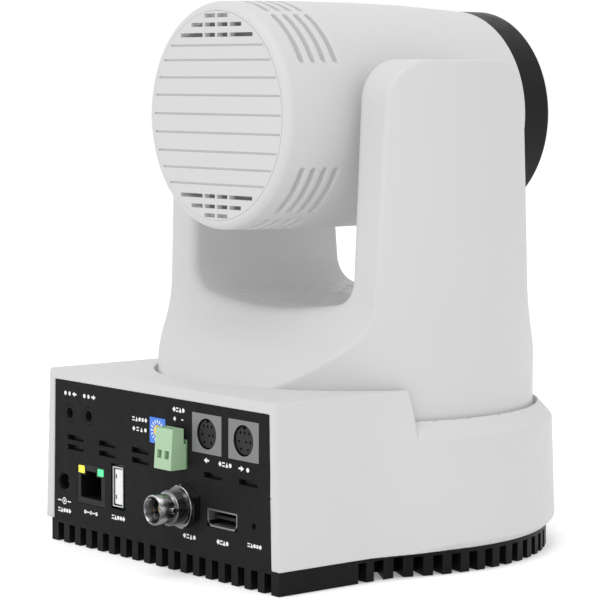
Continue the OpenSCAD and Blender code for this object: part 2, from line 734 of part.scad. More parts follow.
module yoke_frame() color([0.62, 0.63, 0.65]) difference() {
    union() {
        translate([-frame_x - frame_t, -frame_half_y, turntable_z + turntable_t + 0.05])
            cube([2 * (frame_x + frame_t), 2 * frame_half_y, 2]);
        for (x = [frame_x, -frame_x - frame_t])
            translate([x, -frame_half_y, turntable_z + turntable_t + 0.05])
            cube([frame_t, 2 * frame_half_y, frame_top_z - turntable_z - turntable_t]);
    }
    rod_x_axis([0, tilt_z], tilt_bearing_r + 0.02, -60, 60);
    rod_x_axis([0, tilt_motor_z], 5.2, -60, 60);
    translate([0, 0, 40]) cylinder(r = spindle_bore_r, h = 20);
}

module tilt_bearings() color([0.6, 0.61, 0.63]) for (s = [-1, 1])
    translate([s > 0 ? frame_x - 0.3 : -frame_x - tilt_bearing_w + 0.3, 0, tilt_z]) rotate([0, 90, 0])
        ring(tilt_bearing_r, axle_r + running, tilt_bearing_w);

module tilt_motor() color([0.22, 0.22, 0.24]) difference() {
    union() {
        rod_x_axis([0, tilt_motor_z], tilt_motor_r, 21, frame_x - 0.1);
        rod_x_axis([0, tilt_motor_z], 5, 21, frame_x + frame_t + 0.5);
    }
    rod_x_axis([0, tilt_motor_z], tilt_shaft_r + running, 30, 60);
}

module tilt_pinion() color([0.80, 0.66, 0.30]) {
    rod_x_axis([0, tilt_motor_z], tilt_pinion_r, drive_x, drive_x + drive_w);
    rod_x_axis([0, tilt_motor_z], tilt_shaft_r, 31, drive_x + 1);
}

module tilt_belt() color([0.08, 0.08, 0.08]) translate([drive_x + 0.7, 0, tilt_z]) rotate([0, 90, 0])
    belt(tilt_pulley_r, tilt_pinion_r, tilt_z - tilt_motor_z, drive_w - 1.2);

// ---------- head ----------

module tilt_pulley() color([0.70, 0.71, 0.73]) translate([drive_x, 0, tilt_z]) rotate([0, 90, 0])
    ring(tilt_pulley_r, axle_r, drive_w);

module tilt_axle(side, outer_x) color(steel) scale([side, 1, 1]) {
    rod_x_axis([0, tilt_z], axle_r - 0.01, 32.2, outer_x);
    rod_x_axis([0, tilt_z], 8, 32.2, 33.6);
}
module tilt_axle_left() tilt_axle(-1, 51);
module tilt_axle_right() tilt_axle(1, 57);

// The barrel narrows to the front and has a rounded rear rim around the cap
module head_shell() color(white_plastic) difference() {
    union() {
        turned_head([
            [head_r - 1.9, -hood_joint_y], [head_r - 0.4, -21], [head_r, 0], [head_r, 25], [head_r - 0.3, 44],
            [head_r - 0.7, head_rear_y - 3.4], [head_r - 1.3, head_rear_y - 1.8],
            [head_r - 2.6, head_rear_y - 0.4], [head_r - 3.4, head_rear_y], [cap_r + seam, head_rear_y],
            [cap_r + seam, head_rear_y - cap_t - seam], [cap_r - 2, head_rear_y - cap_t - seam],
            [cap_r - 2, head_rear_y - cap_t - 2], [head_r - head_wall - 0.6, 42], [head_r - head_wall, 25],
            [head_r - head_wall, 0], [head_r - head_wall - 0.4, -21], [head_r - head_wall - 1.9, -hood_joint_y]]);
        for (s = [-1, 1]) difference() {
            rod_x_axis([0, tilt_z], hub_r, s > 0 ? 30 : -gap_half_w + 0.4, s > 0 ? gap_half_w - 0.4 : -30);
            rod_y([0, tilt_z], head_r - head_wall, -40, 40);
        }
    }
    rod_x_axis([0, tilt_z], axle_r + 0.02, -50, 50);
    // cooling grooves around the rear of the barrel
    for (y = vent_y, arc = vent_arcs, s = [0, 1]) mirror([s, 0, 0])
        translate([0, y - vent_w / 2, tilt_z]) rotate([-90, 0, 0]) rotate([0, 0, -90 - arc[1]])
            rotate_extrude(angle = arc[1] - arc[0])
                translate([head_r - vent_depth - 0.4, 0]) square([5, vent_w]);
}

// A row of short slots through the cap, listed by their half lengths from the middle
module cap_slot(x0, x1, z) {
    translate([x0, head_rear_y - 5, tilt_z + z - cap_slot_h / 2]) cube([x1 - x0, 10, cap_slot_h]);
}

module rear_cap() color(white_plastic) difference() {
    rod_y([0, tilt_z], cap_r, head_rear_y - cap_t, head_rear_y);
    for (z = groove_z) {
        half = sqrt(pow(cap_r - 0.6, 2) - z * z);
        translate([-half, head_rear_y - groove_depth, tilt_z + z - groove_w / 2]) cube([2 * half, 2, groove_w]);
    }
    for (up = [-1, 1], m = [-1, 1]) {
        short = [for (x = [m * (cap_slot_gap / 2), m * (cap_slot_gap / 2 + 5.5)]) x];
        for (z = cap_slot_z) cap_slot(min(short), max(short), up * z);
        cap_slot(min(m * 7, m * 13), max(m * 7, m * 13), up * cap_slot_z[1]);
        cap_slot(min(m * 7, m * 18.8), max(m * 7, m * 18.8), up * cap_slot_z[2]);
    }
}

// A plain screen behind the slots of the cap
module cap_screen() color(white_plastic)
    rod_y([0, tilt_z], cap_r - 2.4, head_rear_y - 4.6, head_rear_y - 3.9);

module lens_hood() color(black_paint) turned_head([
    [head_r - 1.9, -hood_joint_y - 0.05], [head_r - 1.9, -hood_front_y + 1], [head_r - 2.6, -hood_front_y],
    [head_r - 4, -hood_front_y], [head_r - 4.4, -hood_front_y + 1], [head_r - 4.4, -hood_joint_y - 0.05]]);

module front_bezel() color(black_paint) turned_head([
    [head_r - 4.5, -hood_front_y + 2], [head_r - 6.5, -hood_front_y + 2], [glass_r + 1, -hood_front_y + 7.5],
    [glass_r - 1.2, -hood_front_y + 7.5], [glass_r - 1.2, -hood_front_y + 8.2],
    [glass_r + 0.3, -hood_front_y + 8.2], [glass_r + 0.3, -hood_front_y + 10.2], [head_r - 4.5, -hood_front_y + 10.2]]);

module front_glass() color([0.25, 0.30, 0.40, 0.5])
    rod_y([0, tilt_z], glass_r + 0.2, -hood_front_y + 8.25, -hood_front_y + 10.1);

// A folded metal cradle under the lens, joined to both axles
module head_frame() color([0.62, 0.63, 0.65]) translate([0, 0, tilt_z]) slab_y(-28, 22) difference() {
    polygon([[-32, 11], [-32, -11], [-25.2, -22.2], [25.2, -22.2], [32, -11], [32, 11]]);
    polygon([[-30, 12], [-30, -10.4], [-24.3, -20.3], [24.3, -20.3], [30, -10.4], [30, 12]]);
}

module lens_barrel() color(dark_plastic) turned_head([
    [lens_r, -50.2], [lens_r, -6], [lens_r - 4, -6], [lens_r - 4, -8], [lens_r - 1.6, -8], [lens_r - 1.6, -44],
    [15.5, -44], [15.5, -50.2]]);

module guide_rods() color(steel) for (s = [-1, 1]) rod_y([s * rod_x, tilt_z], rod_r, -43.9, -8.1);

// A glass element in a holder that slides on the two rods
module optic_group(y, t) difference() {
    union() {
        rod_y([0, tilt_z], optic_r, y, y + t);
        block_y([0, tilt_z], [2 * rod_x + 4, t, 4], y + t);
    }
    for (s = [-1, 1]) rod_y([s * rod_x, tilt_z], rod_r + running, y - 1, y + t + 1);
}
module zoom_group() color([0.30, 0.40, 0.45]) optic_group(zoom_y, 4);
module focus_group() color([0.30, 0.40, 0.45]) optic_group(focus_y - 4, 3);

module sensor_board() color(board_green) {
    translate([-17, -5.6, tilt_z - 17]) cube([34, board_t, 34]);
    translate([-6, -7.6, tilt_z - 5]) cube([12, 2.1, 10]);
}

base_plate();
rubber_feet();
base_screws();
tripod_insert();
housing();
rear_panel();
ir_window();
main_board();
connector_board();
line_in_jack();
line_out_jack();
select_switch_body();
select_rotor();
terminal_header();
terminal_plug();
terminal_screws();
serial_in_socket();
serial_out_socket();
dc_jack();
lan_jack();
lan_led_yellow();
lan_led_green();
usb_port();
bnc_barrel();
bnc_nut();
bnc_insulator();
bnc_contact();
hdmi_port();
restore_switch();
restore_button();
pan_bearing_outer();
pan_bearing_inner();
pan_pulley();
pan_belt();
pan_motor();
pan_pinion();
turntable();
yoke_shell();
yoke_front_cover();
yoke_frame();
tilt_bearings();
tilt_motor();
tilt_pinion();
tilt_belt();
tilt_pulley();
tilt_axle_left();
tilt_axle_right();
head_shell();
rear_cap();
cap_screen();
lens_hood();
front_bezel();
front_glass();
head_frame();
lens_barrel();
guide_rods();
zoom_group();
focus_group();
sensor_board();
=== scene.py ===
import math

import bmesh
import bpy
import numpy as np
import openvdb
from mathutils import Matrix, Vector


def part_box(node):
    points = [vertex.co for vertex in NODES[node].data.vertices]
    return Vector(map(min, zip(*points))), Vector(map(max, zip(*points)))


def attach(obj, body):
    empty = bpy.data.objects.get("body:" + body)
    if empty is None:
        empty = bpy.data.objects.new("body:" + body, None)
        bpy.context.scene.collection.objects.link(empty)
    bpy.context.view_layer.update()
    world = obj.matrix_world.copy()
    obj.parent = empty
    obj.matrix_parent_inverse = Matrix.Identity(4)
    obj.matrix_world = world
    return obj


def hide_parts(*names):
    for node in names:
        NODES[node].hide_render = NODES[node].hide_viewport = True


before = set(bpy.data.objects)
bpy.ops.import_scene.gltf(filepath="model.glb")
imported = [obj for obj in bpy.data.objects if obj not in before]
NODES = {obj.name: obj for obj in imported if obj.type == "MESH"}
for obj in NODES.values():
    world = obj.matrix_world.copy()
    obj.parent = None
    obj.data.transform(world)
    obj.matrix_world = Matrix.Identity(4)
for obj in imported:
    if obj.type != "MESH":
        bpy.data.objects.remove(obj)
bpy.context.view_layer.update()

MM = 0.001


# ---------------------------------------------------------------- dimensions, in millimetres, from the frame

def node_box(name):
    """Lowest and highest corner of a CAD node in millimetres."""
    low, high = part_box(name)
    return np.array(low) / MM, np.array(high) / MM


def node_centre(name):
    low, high = node_box(name)
    return (low + high) / 2


HOUSING_LOW, HOUSING_HIGH = node_box("housing")
YOKE_LOW, YOKE_HIGH = node_box("yoke_shell")
CAP_HIGH = node_box("rear_cap")[1]
PANEL_HIGH = node_box("rear_panel")[1]
TILT_Z = node_centre("rear_cap")[2]

WALL = 2.4

# base housing
FRONT_R = -HOUSING_LOW[1]
REAR_Y = HOUSING_HIGH[1]
SKIRT_Z = HOUSING_LOW[2]
DECK_Z = HOUSING_HIGH[2]
SKIRT_CHAMFER = 2.6
LEDGE_R = FRONT_R - 1.2
LEDGE_Z = 43.6
POCKET_R = 64.5
POCKET_FLOOR_Z = 44.0
POCKET_RIM_Z = 49.4
STEP_Y = 25.5
BLOCK_HALF_LOW = 62.8
BLOCK_HALF_HIGH = 60.3
SIDE_WALL = 2.6
DECK_WALL = 3.6
SPINDLE_HOLE_R = 15.5
BLEND_R = 6.0             # hollow fillet between the rear block and the round front
LEDGE_TIP = 0.6           # flat cut of the ledge's upper edge
WINDOW_HALF = 9.0         # infrared window, between the centres of its round ends
WINDOW_R = 5.1
WINDOW_Z = 25.0
BEARING_SEAT_R = 21.5
BEARING_SEAT_LOW_Z = 33.8
BEARING_SEAT_HIGH_Z = 43.0

# yoke
YOKE_R = YOKE_HIGH[0]
YOKE_FOOT_Z = YOKE_LOW[2]
ARM_TOP_Z = YOKE_HIGH[2]
REAR_CORNER_R = 13.5
REAR_CORNER_Y = 17.4
FRONT_CORNER_R = 17.0
FRONT_CORNER_Y = -9.87
GAP_HALF = 41.0
GAP_FILLET = 9.0
SADDLE_Z = 81.1
SADDLE_R = 190.0
HEAD_SWEEP_R = 66.0
AXLE_HOLE_R = 10.0
REAR_CURVE = ((55.55, 88.4), 22, 182.5, 229)      # centre (y, z), radius and angles of the hollow curve
FRONT_CURVE = ((65.9, 93.1), 34, 185.3, 229)

# radii of rounded edges
EDGE_R = {
    "ledge": 0.4, "ledge_tip": 0.3, "deck": 0.7, "rear": 0.6, "skirt": 0.4, "pocket": 0.5, "opening": 0.35,
    "window": 0.3, "arm": 0.9, "gap_front": 1.0, "gap_rear": 3.0, "yoke_foot": 0.5,
}

# spacing of the grids that the shells are meshed on
HOUSING_VOXEL = 0.66
YOKE_VOXEL = 0.8

# head
HEAD_R = 37.3
HOOD_JOINT_Y = 48.8
HEAD_REAR_Y = CAP_HIGH[1]
CAP_R = CAP_HIGH[0]
HUB_R = 16.0
HEAD_WALL = 2.4

PANEL_Y = PANEL_HIGH[1]
PANEL_TOP_Z = PANEL_HIGH[2]
PANEL_HALF_LOW = PANEL_HIGH[0]
PANEL_HALF_HIGH = 57.1
PANEL_RIM = 6.0
SEAM = 0.12

# connectors
# radius of the dark disc on the mini-DIN sockets: their black core, with painted shade in the groove round it
DIN_CORE_AND_SHADE_R = 4.85
BNC_CENTRE = node_centre("bnc_contact")
BNC_R = 4.8
BNC_NECK_R = 4.6
BNC_COLLAR = 3.4
BNC_BORE_R = 4.1
BNC_THREAD_R = 5.6
BNC_TIP_Y = node_box("bnc_barrel")[1][1]
BNC_ROOT_Y = node_box("bnc_barrel")[0][1]


# ---------------------------------------------------------------- materials

def tree_of(name):
    """A new material with its default node tree, which holds one Principled shader."""
    mat = bpy.data.materials.new(name)
    mat.use_nodes = True
    nodes = mat.node_tree.nodes
    return mat, nodes, mat.node_tree.links, nodes["Principled BSDF"]


def noise(nodes, links, scale, detail=4.0, rough=0.5):
    """Noise in the object's own space: scale is in features per metre."""
    coords = nodes.new("ShaderNodeTexCoord")
    tex = nodes.new("ShaderNodeTexNoise")
    tex.inputs["Scale"].default_value = scale
    tex.inputs["Detail"].default_value = detail
    tex.inputs["Roughness"].default_value = rough
    links.new(coords.outputs["Object"], tex.inputs["Vector"])
    return tex


def ramp(nodes, links, source, stops):
    """A colour ramp from stops of (position, colour)."""
    node = nodes.new("ShaderNodeValToRGB")
    links.new(source, node.inputs["Fac"])
    elements = node.color_ramp.elements
    for element, (place, colour) in zip([elements[0], elements[1]], [stops[0], stops[-1]]):
        element.position = place
        element.color = colour
    for place, colour in stops[1:-1]:
        elements.new(place).color = colour
    return node


def shade(colour, factor):
    return (colour[0] * factor, colour[1] * factor, colour[2] * factor, 1.0)


def patch_factor(nodes, links, kind, centre, size):
    """1 inside a round or square patch of the rear view, 0 outside.

    The centre and the half size are (x, z) in millimetres; a disc has a radius instead.
    """
    coords = nodes.new("ShaderNodeTexCoord")
    parts = nodes.new("ShaderNodeSeparateXYZ")
    links.new(coords.outputs["Object"], parts.inputs["Vector"])

    def calculate(operation, first, second, third=None):
        node = nodes.new("ShaderNodeMath")
        node.operation = operation
        for slot, value in zip(node.inputs, (first, second, third)):
            if isinstance(value, float):
                slot.default_value = value
            elif value is not None:
                links.new(value, slot)
        return node.outputs["Value"]

    x, z = parts.outputs["X"], parts.outputs["Z"]
    if kind == "box":
        wide = calculate("COMPARE", x, centre[0] * MM, size[0] * MM)
        tall = calculate("COMPARE", z, centre[1] * MM, size[1] * MM)
        return calculate("MULTIPLY", wide, tall)
    across = calculate("SUBTRACT", x, centre[0] * MM)
    up = calculate("SUBTRACT", z, centre[1] * MM)
    square = calculate("ADD", calculate("MULTIPLY", across, across), calculate("MULTIPLY", up, up))
    return calculate("LESS_THAN", square, (size * MM) ** 2)


def with_patches(mat, patches):
    """Paints patches of another colour over a material: each is (kind, centre, size, colour)."""
    nodes, links = mat.node_tree.nodes, mat.node_tree.links
    shader = nodes["Principled BSDF"]
    for kind, centre, size, colour in patches:
        mix = nodes.new("ShaderNodeMix")
        mix.data_type = "RGBA"
        links.new(patch_factor(nodes, links, kind, centre, size), mix.inputs["Factor"])
        links.new(shader.inputs["Base Color"].links[0].from_socket, mix.inputs["A"])
        mix.inputs["B"].default_value = (*colour, 1.0)
        links.new(mix.outputs["Result"], shader.inputs["Base Color"])
    return mat


def moulded(name, colour, roughness, grain=2600.0, bump=0.12, mottle=0.03, metallic=0.0, coat=0.0,
            scratch=0.0, specular=0.5):
    """Moulded or coated surface: faint mottling, a fine grain in the relief and uneven gloss."""
    mat, nodes, links, shader = tree_of(name)
    broad = noise(nodes, links, 38.0)
    tint = ramp(nodes, links, broad.outputs["Fac"],
                [(0.25, shade(colour, 1.0 - mottle)), (0.75, shade(colour, 1.0 + mottle))])
    links.new(tint.outputs["Color"], shader.inputs["Base Color"])
    gloss_noise = noise(nodes, links, 240.0, detail=6.0)
    gloss = nodes.new("ShaderNodeMapRange")
    gloss.inputs["From Min"].default_value = 0.3
    gloss.inputs["From Max"].default_value = 0.7
    gloss.inputs["To Min"].default_value = max(0.02, roughness - 0.06 - scratch)
    gloss.inputs["To Max"].default_value = roughness + 0.06 + scratch
    links.new(gloss_noise.outputs["Fac"], gloss.inputs["Value"])
    links.new(gloss.outputs["Result"], shader.inputs["Roughness"])
    fine = noise(nodes, links, grain, detail=2.0)
    relief = nodes.new("ShaderNodeBump")
    relief.inputs["Strength"].default_value = bump
    relief.inputs["Distance"].default_value = 0.00008
    links.new(fine.outputs["Fac"], relief.inputs["Height"])
    links.new(relief.outputs["Normal"], shader.inputs["Normal"])
    shader.inputs["Metallic"].default_value = metallic
    shader.inputs["Coat Weight"].default_value = coat
    shader.inputs["Specular IOR Level"].default_value = specular
    return mat


def clear_glass(name, colour, roughness=0.02):
    """Coated optical glass with a faint film of unevenness."""
    mat, nodes, links, shader = tree_of(name)
    film = noise(nodes, links, 60.0)
    tint = ramp(nodes, links, film.outputs["Fac"], [(0.3, shade(colour, 0.9)), (0.7, shade(colour, 1.1))])
    links.new(tint.outputs["Color"], shader.inputs["Base Color"])
    shader.inputs["Roughness"].default_value = roughness
    shader.inputs["Transmission Weight"].default_value = 0.85
    shader.inputs["IOR"].default_value = 1.5
    shader.inputs["Coat Weight"].default_value = 0.6
    return mat


def glowing(name, colour, strength):
    """A light guide that glows a little, unevenly."""
    mat = moulded(name, colour, 0.25, grain=900.0, bump=0.03)
    nodes, links = mat.node_tree.nodes, mat.node_tree.links
    shader = nodes["Principled BSDF"]
    patch = noise(nodes, links, 500.0)
    tint = ramp(nodes, links, patch.outputs["Fac"], [(0.2, shade(colour, 0.8)), (0.8, shade(colour, 1.1))])
    links.new(tint.outputs["Color"], shader.inputs["Emission Color"])
    shader.inputs["Emission Strength"].default_value = strength
    return mat


def material_set():
    """One material for each finish of the camera."""
    return {
        "white": white_plastic(),
        "screen": moulded("cap_screen", (0.36, 0.36, 0.36), 0.6, bump=0.1, mottle=0.02, specular=0.2),
        "black_paint": moulded("black_paint", (0.0045, 0.0045, 0.0045), 0.50, bump=0.25, mottle=0.10,
                               specular=0.12),
        "panel": moulded("panel_paint", (0.0105, 0.0105, 0.0108), 0.6, grain=3600.0, bump=0.15,
                         mottle=0.08, specular=0.08),
        "black_plastic": moulded("black_plastic", (0.005, 0.005, 0.005), 0.45, bump=0.15, mottle=0.08,
                                 specular=0.2),
        "hood": moulded("hood_plastic", (0.006, 0.006, 0.0063), 0.42, grain=1800.0, bump=0.12,
                        mottle=0.06, specular=0.14),
        "rubber": moulded("rubber", (0.016, 0.016, 0.016), 0.75, grain=1500.0, bump=0.35, mottle=0.15),
        "steel": moulded("zinc_steel", (0.60, 0.61, 0.62), 0.30, bump=0.05, metallic=1.0, scratch=0.06),
        "chrome": metal_with_painted_reflections("chrome", (0.42, 0.42, 0.43)),
        "nut": metal_with_painted_reflections("nut_steel", (0.42, 0.42, 0.43)),
        "brass": moulded("brass", (0.75, 0.56, 0.26), 0.25, bump=0.03, mottle=0.06, metallic=1.0,
                         scratch=0.05),
        "board": moulded("circuit_board", (0.015, 0.13, 0.055), 0.30, grain=900.0, bump=0.3, mottle=0.2,
                         coat=0.4),
        "blue": moulded("switch_blue", (0.035, 0.17, 0.66), 0.38, bump=0.06),
        "yellow": moulded("rotor_yellow", (0.72, 0.50, 0.09), 0.40, bump=0.06),
        "green": moulded("terminal_green", (0.33, 0.49, 0.31), 0.45, bump=0.05, mottle=0.03),
        "green_dark": moulded("header_green", (0.20, 0.42, 0.20), 0.40, bump=0.05),
        # dark box in the HDMI port's mouth: its black tongue, and painted shade on the shell's inner walls
        "grey": with_patches(
            moulded("socket_grey", (0.20, 0.20, 0.205), 0.36, bump=0.05, metallic=0.6),
            [("box", tuple(node_centre("hdmi_port")[[0, 2]]), (6.8, 2.1), (0.008, 0.008, 0.008))]),
        "led_yellow": glowing("led_yellow", (0.85, 0.80, 0.03), 0.9),
        "led_green": glowing("led_green", (0.06, 0.70, 0.24), 0.7),
        "ptfe": moulded("ptfe", (0.34, 0.34, 0.33), 0.45, bump=0.04),
        "window": moulded("window_plastic", (0.02, 0.006, 0.009), 0.08, bump=0.01, coat=0.5),
        "anodised": moulded("anodised", (0.42, 0.43, 0.45), 0.34, bump=0.08, metallic=0.9, scratch=0.04),
        "motor": moulded("motor_black", (0.03, 0.03, 0.032), 0.40, bump=0.10),
        "belt": moulded("belt_rubber", (0.014, 0.014, 0.014), 0.65, grain=1200.0, bump=0.3),
        "glass": clear_glass("optic_glass", (0.62, 0.68, 0.80)),
        "ink": moulded("legend_ink", (0.78, 0.78, 0.77), 0.55, bump=0.05),
        "usb_white": moulded("port_tongue", (0.72, 0.72, 0.71), 0.40, bump=0.04),
        "socket_in": din_metal("socket_in_metal", "serial_in_socket"),
        "socket_out": din_metal("socket_out_metal", "serial_out_socket"),
        "usb": with_patches(
            moulded("port_shell", (0.55, 0.56, 0.57), 0.28, bump=0.05, metallic=1.0, scratch=0.06),
            [("box", tuple(node_centre("usb_port")[[0, 2]]), (2.3, 5.8), (0.62, 0.62, 0.61))]),
        "floor": floor_paper(),
    }


def white_plastic():
    """Warm-white moulded ABS with a faint even glow: painted light that lifts its shaded parts."""
    mat = moulded("white_plastic", (0.45, 0.45, 0.448), 0.48, bump=0.08, mottle=0.010, specular=0.3)
    shader = mat.node_tree.nodes["Principled BSDF"]
    # the glow is painted light, lifting the shade in corners and between the parts
    shader.inputs["Emission Color"].default_value = (1, 1, 0.995, 1)
    shader.inputs["Emission Strength"].default_value = 0.105
    return mat


# painted reflections on metal: brightness of the bands, from surfaces that face down (0) to surfaces that face up
# (1)
PAINTED_REFLECTION_BANDS = ((0.0, 0.3), (0.22, 0.7), (0.34, 0.15), (0.50, 0.35), (0.62, 1.2), (0.70, 0.25), (0.86, 2.1),
               (1.0, 0.8))


def metal_with_painted_reflections(name, colour):
    """Bright plating with painted reflections: dark and light bands around it by the way each surface faces, as a
    round part shows in a studio.
    """
    mat = moulded(name, colour, 0.18, bump=0.02, mottle=0.05, metallic=1.0, scratch=0.04)
    nodes, links = mat.node_tree.nodes, mat.node_tree.links
    facing = nodes.new("ShaderNodeNewGeometry")
    parts = nodes.new("ShaderNodeSeparateXYZ")
    links.new(facing.outputs["Normal"], parts.inputs["Vector"])
    spread = nodes.new("ShaderNodeMapRange")
    spread.inputs["From Min"].default_value = -1.0
    links.new(parts.outputs["Z"], spread.inputs["Value"])
    # the bands paint reflections into the base colour, from how far each surface faces up
    stops = [(place, shade(colour, factor)) for place, factor in PAINTED_REFLECTION_BANDS]
    bands = ramp(nodes, links, spread.outputs["Result"], stops)
    links.new(bands.outputs["Color"], nodes["Principled BSDF"].inputs["Base Color"])
    return mat


def din_metal(name, node):
    """Plated socket shell around a black core; the dark disc over it also paints the shade in the groove round the
    core.
    """
    centre = node_centre(node)
    mat = moulded(name, (0.19, 0.19, 0.195), 0.42, bump=0.05, metallic=0.3, specular=0.3)
    return with_patches(mat, [("disc", (centre[0], centre[2]), DIN_CORE_AND_SHADE_R, (0.012, 0.012, 0.012))])


def floor_paper():
    """Bright studio paper with a faint fibre."""
    mat = moulded("floor_paper", (0.90, 0.90, 0.90), 0.8, grain=700.0, bump=0.03, mottle=0.004, specular=0.1)
    shader = mat.node_tree.nodes["Principled BSDF"]
    shader.inputs["Emission Color"].default_value = (1, 1, 1, 1)
    shader.inputs["Emission Strength"].default_value = 0.22
    return mat


MATS = material_set()


# ---------------------------------------------------------------- pieces from meshes

def add_piece(mesh, name, body, mats, replaced=()):
    """Puts a mesh in the scene as a piece of the camera that rides on a body."""
    obj = bpy.data.objects.new(name, mesh)
    bpy.context.scene.collection.objects.link(obj)
    for mat in mats:
        mesh.materials.append(MATS[mat])
    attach(obj, body)
    if replaced:
        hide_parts(*replaced)
    return obj


def mesh_of(name, points, faces, normals=None):
    """A smooth mesh from points in millimetres."""
    mesh = bpy.data.meshes.new(name)
    mesh.from_pydata((np.asarray(points) * MM).tolist(), [], [list(map(int, f)) for f in faces])
    mesh.polygons.foreach_set("use_smooth", [True] * len(mesh.polygons))
    mesh.update()
    if normals is not None:
        mesh.normals_split_custom_set_from_vertices(normals.tolist())
    return mesh


# ---------------------------------------------------------------- signed distances, in millimetres

def soft_and(a, b, r):
    """Both shapes at once, with the edge between them rounded to radius r."""
    return np.minimum(np.maximum(a, b), -r) + np.hypot(np.maximum(a + r, 0), np.maximum(b + r, 0))


def soft_or(a, b, r):
    """Either shape, with a hollow fillet of radius r where they meet."""
    return np.maximum(np.minimum(a, b), r) - np.hypot(np.maximum(r - a, 0), np.maximum(r - b, 0))


def ease(value, low, high):
    """Rises smoothly from 0 at low to 1 at high."""
    t = np.clip((value - low) / (high - low), 0, 1)
    return t * t * (3 - 2 * t)


def polygon_distance(u, v, outline):
    """Signed distance to a closed outline of (u, v) points."""
    best = np.full(np.broadcast(u, v).shape, 1e9)
    inside = np.ones(best.shape)
    for (u0, v0), (u1, v1) in zip(outline, outline[1:] + outline[:1]):
        eu, ev = u1 - u0, v1 - v0
        wu, wv = u - u0, v - v0
        t = np.clip((wu * eu + wv * ev) / (eu * eu + ev * ev), 0, 1)
        best = np.minimum(best, (wu - eu * t) ** 2 + (wv - ev * t) ** 2)
        above, below = v >= v0, v < v1
        left = eu * wv > ev * wu
        crossing = (above & below & left) | (~above & ~below & ~left)
        inside = np.where(crossing, -inside, inside)
    return np.sqrt(best) * inside


def slope(distance, x, y, z, step=0.05):
    """Unit gradient of a distance at points."""
    grad = np.stack([
        distance(x + step, y, z) - distance(x - step, y, z),
        distance(x, y + step, z) - distance(x, y - step, z),
        distance(x, y, z + step) - distance(x, y, z - step)], axis=1)
    return grad / np.maximum(np.linalg.norm(grad, axis=1, keepdims=True), 1e-9)


def mesh_from_distance(name, distance, low, high, voxel):
    """Meshes the zero level of a distance and pulls each vertex onto it."""
    axes = [np.arange(a - 2 * voxel, b + 3 * voxel, voxel) for a, b in zip(low, high)]
    x, y, z = np.meshgrid(*axes, indexing="ij", sparse=True)
    grid = openvdb.FloatGrid(3.0 * voxel)
    grid.copyFromArray(np.ascontiguousarray(distance(x, y, z), dtype=np.float32))
    points, quads = grid.convertToQuads(isovalue=0.0)
    points = points * voxel + np.array([a[0] for a in axes])
    for _ in range(4):
        px, py, pz = points.T
        reach = np.clip(distance(px, py, pz), -voxel / 2, voxel / 2)
        points = points - slope(distance, px, py, pz) * reach[:, None]
    normals = slope(distance, *points.T)
    a, b, c = (points[quads[:, i]] for i in range(3))
    turned = np.einsum("ij,ij->i", np.cross(b - a, c - a), normals[quads[:, 0]]).sum() < 0
    if turned:
        quads = quads[:, ::-1]
    return mesh_of(name, points, quads, normals)


# ---------------------------------------------------------------- base housing

def cone_radius(z):
    """Radius of the round front at height z."""
    rise = np.clip((z - SKIRT_Z - SKIRT_CHAMFER) / (LEDGE_Z - SKIRT_Z - SKIRT_CHAMFER), -0.3, 1)
    return FRONT_R + (LEDGE_R - FRONT_R) * rise


def block_half(z):
    """Half width of the rear block at height z."""
    return BLOCK_HALF_LOW + (BLOCK_HALF_HIGH - BLOCK_HALF_LOW) * (z - SKIRT_Z) / (DECK_Z - SKIRT_Z)


def housing_outside(x, y, z, open_ends=False):
    """Outer form of the housing. With open_ends its underside and rear face run on."""
    rho = np.hypot(x, y)
    side = np.abs(x)
    # round front with its sloping ledge
    front = rho - cone_radius(z)
    ledge_slope = math.atan2(POCKET_RIM_Z - LEDGE_Z, LEDGE_R - POCKET_R)
    ledge = (rho - LEDGE_R) * math.sin(ledge_slope) + (z - LEDGE_Z) * math.cos(ledge_slope)
    front = soft_and(front, ledge, EDGE_R["ledge"])
    # the low part of the rear block flows into the front
    low_block = np.maximum(side - block_half(z), -y)
    low_block = np.maximum(low_block, z - LEDGE_Z - 0 * side)
    low = soft_or(front, low_block, BLEND_R)
    low = soft_and(low, z - POCKET_RIM_Z + LEDGE_TIP + 0 * side, EDGE_R["ledge_tip"])
    # the tall rear block, whose sides flare to the round front at the ledge
    rise = np.clip((z - LEDGE_Z) / (DECK_Z - LEDGE_Z), 0, 1)
    straight = side - block_half(z) + 0 * y
    tall = (1 - rise) * soft_or(rho - LEDGE_R + 0 * z, straight, BLEND_R) + rise * straight
    tall = soft_and(tall, z - DECK_Z, EDGE_R["deck"])
    tall = soft_and(tall, STEP_Y - y + 0 * side, EDGE_R["deck"])
    tall = np.maximum(tall, LEDGE_Z - 4 - z)
    shape = np.minimum(low, tall)
    if open_ends:
        return shape
    rear = y - REAR_Y + 0 * side
    shape = soft_and(shape, rear, EDGE_R["rear"])
    fade = ease(34 - y, 0, 24)
    chamfer = (low + SKIRT_CHAMFER * fade - (z - SKIRT_Z)) * math.sqrt(0.5)
    shape = soft_and(shape, chamfer, EDGE_R["skirt"])
    return soft_and(shape, SKIRT_Z - z + 0 * shape, EDGE_R["skirt"])


